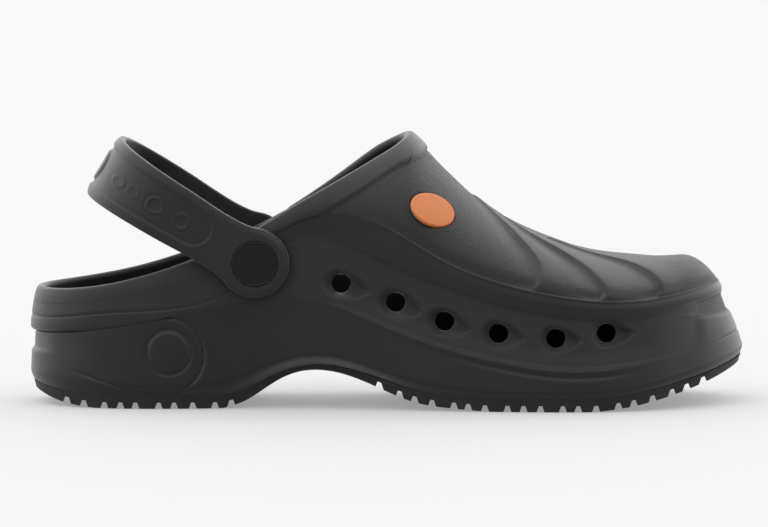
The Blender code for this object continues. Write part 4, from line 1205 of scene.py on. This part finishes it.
def make_outsole(sizes):
    """Rubber tread: a side with notches, and lugs with bevelled edges between the grooves."""
    depth = sizes.tread / MM
    start, end = outsole_ends(TREAD_INSET)
    even = start + (end - start) * (1 - np.cos(np.linspace(0, np.pi, TREAD_STATIONS))) / 2
    offsets = np.array([GROOVE_MOUTH / 2 + 0.35, GROOVE_MOUTH / 2, GROOVE_ROOT / 2])
    middles = np.array(HEEL_GROOVES + FOREFOOT_GROOVES)
    corners = (middles[:, None] + np.concatenate([-offsets, offsets])).reshape(-1)
    along = np.unique(np.round(np.concatenate([even, corners[(corners > start) & (corners < end)]]), 3))
    outer = edge_at(along, TREAD_INSET, OUTER_SIDE)
    inner = edge_at(along, TREAD_INSET, INNER_SIDE)
    # Lanes lie closer near both edges.
    lanes = 0.5 - 0.5 * np.cos(np.linspace(0, np.pi, TREAD_LANES))
    lanes = 0.35 * lanes + 0.65 * np.linspace(0, 1, TREAD_LANES)
    across = outer[:, None] + lanes * (inner - outer)[:, None]
    x = np.broadcast_to(along[:, None], across.shape)
    from_edge = np.minimum(across - outer[:, None], inner[:, None] - across)
    cut = groove_depth(x, depth)
    middle = np.abs(across - section("centre", x))
    for first, last in SPLITS:
        in_split = smooth(x, first - 0.6, first + 0.6) * (1 - smooth(x, last - 0.6, last + 0.6))
        trench = SPLIT_DEPTH * (1 - smooth(middle, SPLIT_WIDTH / 2 - 0.7, SPLIT_WIDTH / 2 + 0.2))
        cut = np.maximum(cut, trench * in_split)
    bevel = LUG_BEVEL * (1 - smooth(from_edge, 0.0, 1.2)) * (cut < 0.4)
    # Shallow sipes along each lug hold the floor.
    sipe = SIPE_DEPTH * hump(np.mod(from_edge + 3.0, SIPE_SPACING), SIPE_SPACING / 2, 0.55)
    sipe *= smooth(from_edge, 3, 5) * (cut < 0.1)
    under = np.stack([x, across, ground("height", x) + np.maximum(cut, bevel + sipe)], -1)
    top_start, top_end = outsole_ends(BOND_INSET)
    above = top_start + (along - start) * (top_end - top_start) / (end - start)
    top_height = ground("height", above) + ground("thickness", above)
    top = np.stack([np.stack([above, edge_at(above, BOND_INSET, side), top_height], -1) for side in SIDES])
    rise = np.linspace(0, 1, 5)[:, None, None]
    walls = [under[:, lane] + rise * (top[k] - under[:, lane]) for k, lane in enumerate((0, -1))]
    made = new_object("clog_outsole", *sheets(*[(grid, False) for grid in (under, *walls, top)]))
    smooth_shaded(made, 38)
    return made


# Footbed

def make_footbed(sizes):
    """Loose footbed, dished along its middle, with a rounded rim."""
    at = stations(FOOTBED_STATIONS, ())
    floor = section("floor", at) + CLEARANCE
    inset = sizes.wall / MM + TRAY_LEAN + CLEARANCE
    edge = 0.7 * INSOLE_THICKNESS
    rise = np.array([0.0, 0.5 * edge, edge])[:, None]
    side_rows = ring(*[wall(at, side, floor + rise, inset) for side in SIDES])
    outer = wall(at, OUTER_SIDE, floor + edge, inset)
    inner = wall(at, INNER_SIDE, floor + edge, inset)
    lanes = np.linspace(0, 1, FOOTBED_LANES)[:, None, None]
    room = np.clip(np.linalg.norm(inner - outer, axis=1) / INSOLE_DISH_WIDTH, 0, 1)
    bed = outer + lanes * (inner - outer)
    sag = np.sin(np.pi * lanes[..., 0])
    round_over = np.sqrt(np.clip(sag * 4, 0, 1))
    bed[..., 2] += (INSOLE_THICKNESS - edge) * round_over * room - INSOLE_DISH * sag * room
    points, faces = sheets((side_rows, True), (bed, False))
    faces.insert(1, ladder(side_rows.shape[1]))
    made = new_object("clog_footbed", points, faces)
    smooth_shaded(made, 50)
    return made


# Heel strap and rivets

def strap_path():
    """Reach and Y of the band's inner face in the strap's plane, from rivet to rivet, and where it faces."""
    straight = STRAP_REACH - STRAP_THICKNESS - STRAP_BEND
    sideways = {side: side * STRAP_OFF_WALL[side] for side in SIDES}
    middle = sum(sideways.values()) / 2
    end_steps, run_steps, bend_steps = STRAP_STEPS
    front = -STRAP_END_RADIUS * np.cos(np.pi / 2 * np.arange(end_steps) / end_steps)
    run = np.linspace(0, straight, run_steps)
    turn = np.linspace(0, np.pi / 2, bend_steps)[1:]
    halves = []
    for side in SIDES:
        width = sideways[side] - middle
        reach = np.concatenate([front, run, straight + STRAP_BEND * np.sin(turn) ** STRAP_FULLNESS])
        bend = np.abs(np.cos(turn)) ** STRAP_FULLNESS - 1
        across = np.concatenate([0 * front, 0 * run, bend]) * width + sideways[side]
        halves.append(np.stack([reach, across], -1))
    path = np.concatenate([halves[0], halves[1][-2::-1]])
    along = np.gradient(path, axis=0)
    along /= np.linalg.norm(along, axis=1, keepdims=True)
    outward = np.stack([-along[:, 1], along[:, 0]], -1)
    toward_back = outward[len(halves[0]) - 1, 0]
    return path, outward * np.sign(toward_back)


def strap_half_width(reach):
    """Half the band's width: a round end at the rivet, a slim strand and a deeper back."""
    table = np.array(STRAP_WIDTHS)
    end = np.sqrt(np.clip(STRAP_END_RADIUS**2 - reach**2, 0.0001, None))
    return np.where(reach < 0, end, spline(table[:, 0], table[:, 1], reach, level_ends=True))


def strap_to_clog(reach, sideways, up):
    """Strap's own axes to the clog's table axes."""
    angle = math.radians(STRAP_ANGLE)
    along = PIVOT_STATION - reach * math.cos(angle) + up * math.sin(angle)
    height = PIVOT_HEIGHT + reach * math.sin(angle) + up * math.cos(angle)
    return np.stack([along, sideways, height], -1)


def strap_relief(way, reach, up, half, back_way, sizes):
    """How far the strap's face stands out: sunk panel between the beads, rings, and the pad at the back."""
    radius = half - STRAP_BEAD
    centre = STRAP_PANEL_START + radius
    past_end = np.where(reach < centre, np.hypot(reach - centre, up), np.abs(up)) - radius
    depth = sizes.strap_panel / MM
    relief = -depth * smooth(-past_end, -0.1, 0.6)
    relief += 0.2 * hump(past_end, 0.6, 0.45) - 0.15 * hump(past_end, -1.0, 0.4)
    room = np.where(reach < 0, STRAP_END_RADIUS - np.hypot(reach, up), half - np.abs(up))
    relief -= (0.55 + 0.5 * (1 - smooth(reach, 0, 10))) * (1 - smooth(room, 0.2, 2.6))
    pad = np.hypot((way - back_way) / STRAP_PAD[0], up / STRAP_PAD[1])
    relief += depth * 1.5 * (1 - smooth(pad, 0.86, 1.0)) - 0.25 * hump(pad, 1.06, 0.05)
    for place, size, strength in STRAP_RINGS:
        away = np.hypot(reach - place, up + 0.6)
        relief += strength * (0.35 * hump(away, size, 0.5) - 0.25 * hump(away, size + 0.95, 0.45))
        relief -= strength * 0.4 * (1 - smooth(away, size - 1.1, size - 0.3))
    return relief


def make_strap(sizes):
    """Foam band from rivet to rivet round the back of the heel."""
    path, outward = strap_path()
    half = strap_half_width(path[:, 0])
    edge = np.minimum(STRAP_EDGE, 0.45 * half)
    way = np.concatenate([[0], np.cumsum(np.linalg.norm(np.diff(path, axis=0), axis=1))])
    back_way = way[len(path) // 2]
    turn = np.linspace(0, np.pi / 2, 6)
    face = np.linspace(1, -1, STRAP_ROWS[0])
    inner_face = np.linspace(-1, 1, STRAP_ROWS[1])
    loop = [(1.0, share, 0.0, 1) for share in face]
    loop += [(1.0, -1.0, t, 1) for t in turn[1:]]
    loop += [(0.0, -1.0, t, -1) for t in turn[::-1]]
    loop += [(0.0, share, 0.0, -1) for share in inner_face[1:-1]]
    loop += [(0.0, 1.0, t, -1) for t in turn]
    loop += [(1.0, 1.0, t, 1) for t in turn[:0:-1]]
    rows = []
    for out, share, corner, facing_out in loop:
        up = share * (half - edge) + np.sign(share) * edge * math.sin(corner)
        level = out * STRAP_THICKNESS - facing_out * edge * (1 - math.cos(corner))
        if facing_out > 0:
            level = level + strap_relief(way, path[:, 0], up, half, back_way, sizes)
        plan = path + outward * level[:, None]
        rows.append(strap_to_clog(plan[:, 0], plan[:, 1], up))
    points, faces = capped(np.stack(rows, 1))
    made = new_object("clog_strap", points, faces, np.full(len(points), STRAP_GRAIN))
    shapes = []
    for side in SIDES:
        front = STRAP_OFF_WALL[side] + STRAP_THICKNESS
        seat = RIVET_HEAD_RADIUS + CLEARANCE
        seat_back = front - RIVET_HEAD_DEPTH - CLEARANCE
        shapes.append(rivet_hole(side))
        shapes.append(lathe(((seat_back, seat), (front + 5, seat)), PIVOT, (0, side, 0)))
    carve(made, shapes)
    smooth_shaded(made, 45)
    return made


def rivet_hole(side):
    """Cutter for the hole that a rivet's shank goes through."""
    radius = SHANK_RADIUS + CLEARANCE
    return lathe([(reach, radius) for reach in HOLE_SPAN], PIVOT, (0, side, 0), HOLE_SIDES)


def make_rivet(name, side, sizes):
    """Hard rivet: a flat head in the strap, a shank through both walls and a flange inside the upper."""
    front = STRAP_OFF_WALL[side] + STRAP_THICKNESS
    head_back = front - RIVET_HEAD_DEPTH
    head_front = front + RIVET_PROUD
    thickness = sizes.wall / MM
    at = np.array([PIVOT_STATION])
    above = [abs(over(at, side, np.array([share]), thickness)[0, 1]) for share in (0.0, 0.4)]
    below = abs(wall(at, side, np.array([PIVOT_HEIGHT - FLANGE_RADIUS]), thickness)[0, 1])
    flange_face = min(above + [below]) - CLEARANCE
    flange_back = flange_face - FLANGE_THICKNESS
    face = head_front - RIVET_RIM
    turn = np.linspace(0, np.pi, 13)
    radius = RIVET_HEAD_RADIUS + CLEARANCE / 2
    rim = [(face + RIVET_RIM * math.sin(t), radius - RIVET_RIM + RIVET_RIM * math.cos(t)) for t in turn]
    flat = [(face, (radius - 2 * RIVET_RIM) * share) for share in (0.97, 0.7, 0.4, 0.02)]
    profile = [
        (flange_back, 0.4), (flange_back, FLANGE_RADIUS - FLANGE_BEVEL),
        (flange_back + FLANGE_BEVEL, FLANGE_RADIUS), (flange_face, FLANGE_RADIUS),
        (flange_face, SHANK_RADIUS), (head_back, SHANK_RADIUS), (head_back, radius),
    ] + rim + flat
    made = new_object(name, *lathe(profile, PIVOT, (0, side, 0)))
    smooth_shaded(made, 40)
    return made


# Operators

class CLOG_OT_upper(Operator):
    """Moulded upper with its vents, scales, collar band and rim"""

    bl_idname = "clog.upper"
    bl_label = "Upper"

    def execute(self, context):
        scene = context.scene
        settle(make_upper(scene.clog_sizes), foam_of(scene.clog_colours), "foam", "upper")
        return {"FINISHED"}


class CLOG_OT_sole(Operator):
    """Foam sole with its heel ornament and toe bumper"""

    bl_idname = "clog.sole"
    bl_label = "Sole"

    def execute(self, context):
        scene = context.scene
        settle(make_sole(scene.clog_sizes), foam_of(scene.clog_colours), "foam", "sole")
        return {"FINISHED"}


class CLOG_OT_outsole(Operator):
    """Rubber outsole with its lugs"""

    bl_idname = "clog.outsole"
    bl_label = "Outsole"

    def execute(self, context):
        scene = context.scene
        settle(make_outsole(scene.clog_sizes), moulded_rubber(scene.clog_colours.tread), "tread", "outsole")
        return {"FINISHED"}


class CLOG_OT_footbed(Operator):
    """Loose foam footbed"""

    bl_idname = "clog.footbed"
    bl_label = "Footbed"

    def execute(self, context):
        scene = context.scene
        made = make_footbed(scene.clog_sizes)
        settle(made, moulded_footbed_foam(scene.clog_colours.footbed), "footbed", "insole")
        return {"FINISHED"}


class CLOG_OT_strap(Operator):
    """Heel strap with its beads, sunk panels and rings"""

    bl_idname = "clog.strap"
    bl_label = "Heel strap"

    def execute(self, context):
        scene = context.scene
        settle(make_strap(scene.clog_sizes), foam_of(scene.clog_colours), "foam", "heel_strap")
        return {"FINISHED"}


class CLOG_OT_rivets(Operator):
    """The two rivets that the heel strap turns on"""

    bl_idname = "clog.rivets"
    bl_label = "Rivets"

    def execute(self, context):
        scene = context.scene
        nylon = moulded_nylon(scene.clog_colours.rivets)
        for side, node in ((OUTER_SIDE, "rivet_outer"), (INNER_SIDE, "rivet_inner")):
            settle(make_rivet(f"clog_{node}", side, scene.clog_sizes), nylon, "rivets", node)
        return {"FINISHED"}


class CLOG_OT_badge(Operator):
    """Plain oval button on the vamp"""

    bl_idname = "clog.badge"
    bl_label = "Badge"

    def execute(self, context):
        settle(make_badge(), moulded_soft_vinyl(context.scene.clog_colours.badge), "badge", "badge")
        return {"FINISHED"}


class CLOG_OT_stage(Operator):
    """Pale floor lit from below, soft light from above and both ends, and the camera"""

    bl_idname = "clog.stage"
    bl_label = "Stage"

    def execute(self, context):
        scene = context.scene
        stage = scene.clog_stage
        corners = [(x * FLOOR_HALF, y * FLOOR_HALF, 0) for x, y in ((-1, -1), (1, -1), (1, 1), (-1, 1))]
        mesh = bpy.data.meshes.new("floor")
        mesh.from_pydata(corners, [], [(0, 1, 2, 3)])
        floor = bpy.data.objects.new("floor", mesh)
        mesh.materials.append(cast_opal_acrylic(scene.clog_colours.floor, stage.glow))
        scene.collection.objects.link(floor)

        world = bpy.data.worlds.new("soft_studio")
        world.use_nodes = True
        tree = world.node_tree
        way = add(tree, "ShaderNodeTexCoord").outputs["Generated"]
        lit = add(tree, "ShaderNodeVectorMath", {0: way, 1: stage.light_way}, operation="DOT_PRODUCT")
        mirrored = add(tree, "ShaderNodeVectorMath", {0: way}, operation="ABSOLUTE").outputs["Vector"]
        to_ends = (stage.end_light, 0, 0)
        ends = add(tree, "ShaderNodeVectorMath", {0: mirrored, 1: to_ends}, operation="DOT_PRODUCT")
        both = add(tree, "ShaderNodeMath", {0: lit.outputs["Value"], 1: ends.outputs["Value"]})
        strength = add(tree, "ShaderNodeMapRange", {
            "Value": both.outputs["Value"], "From Min": DARK_FROM, "From Max": BRIGHT_FROM,
            "To Min": stage.room, "To Max": stage.backdrop,
        }, interpolation_type="SMOOTHSTEP")
        background = tree.nodes["Background"]
        background.inputs["Color"].default_value = (1, 1, 1, 1)
        tree.links.new(strength.outputs["Result"], background.inputs["Strength"])
        scene.world = world
        scene.view_settings.view_transform = "Standard"

        back = Vector((0, -math.cos(stage.elevation), math.sin(stage.elevation)))
        data = bpy.data.cameras.new("camera")
        data.sensor_fit = "HORIZONTAL"
        data.lens = data.sensor_width * stage.distance / stage.frame_width
        data.dof.use_dof = False
        camera = bpy.data.objects.new("camera", data)
        camera.location = AIM + back * stage.distance
        camera.rotation_euler = back.to_track_quat("Z", "Y").to_euler()
        scene.collection.objects.link(camera)
        scene.camera = camera
        return {"FINISHED"}


OPERATORS = (
    CLOG_OT_upper, CLOG_OT_sole, CLOG_OT_outsole, CLOG_OT_footbed, CLOG_OT_strap, CLOG_OT_rivets,
    CLOG_OT_badge, CLOG_OT_stage,
)


class CLOG_PT_sidebar(Panel):
    """Sizes, colours and pieces of the clog"""

    bl_idname = "CLOG_PT_sidebar"
    bl_label = "Work clog"
    bl_space_type = "VIEW_3D"
    bl_region_type = "UI"
    bl_category = "Clog"

    def draw(self, context):
        layout = self.layout
        for group in (context.scene.clog_sizes, context.scene.clog_colours, context.scene.clog_stage):
            box = layout.box()
            for name in group.bl_rna.properties.keys():
                if name not in ("rna_type", "name"):
                    box.prop(group, name)
        for operator in OPERATORS:
            layout.operator(operator.bl_idname)


GROUPS = (("clog_sizes", ClogSizes), ("clog_colours", ClogColours), ("clog_stage", ClogStage))


def register():
    """Adds the settings, the operators and the panel to Blender."""
    for name, group in GROUPS:
        bpy.utils.register_class(group)
        setattr(bpy.types.Scene, name, PointerProperty(type=group))
    for made in OPERATORS + (CLOG_PT_sidebar,):
        bpy.utils.register_class(made)


def unregister():
    """Takes them out again."""
    for made in reversed(OPERATORS + (CLOG_PT_sidebar,)):
        bpy.utils.unregister_class(made)
    for name, group in reversed(GROUPS):
        delattr(bpy.types.Scene, name)
        bpy.utils.unregister_class(group)


def main():
    """Builds every piece and the stage."""
    register()
    bpy.ops.clog.upper()
    bpy.ops.clog.sole()
    bpy.ops.clog.outsole()
    bpy.ops.clog.footbed()
    bpy.ops.clog.strap()
    bpy.ops.clog.rivets()
    bpy.ops.clog.badge()
    bpy.ops.clog.stage()


if __name__ == "__main__":
    main()
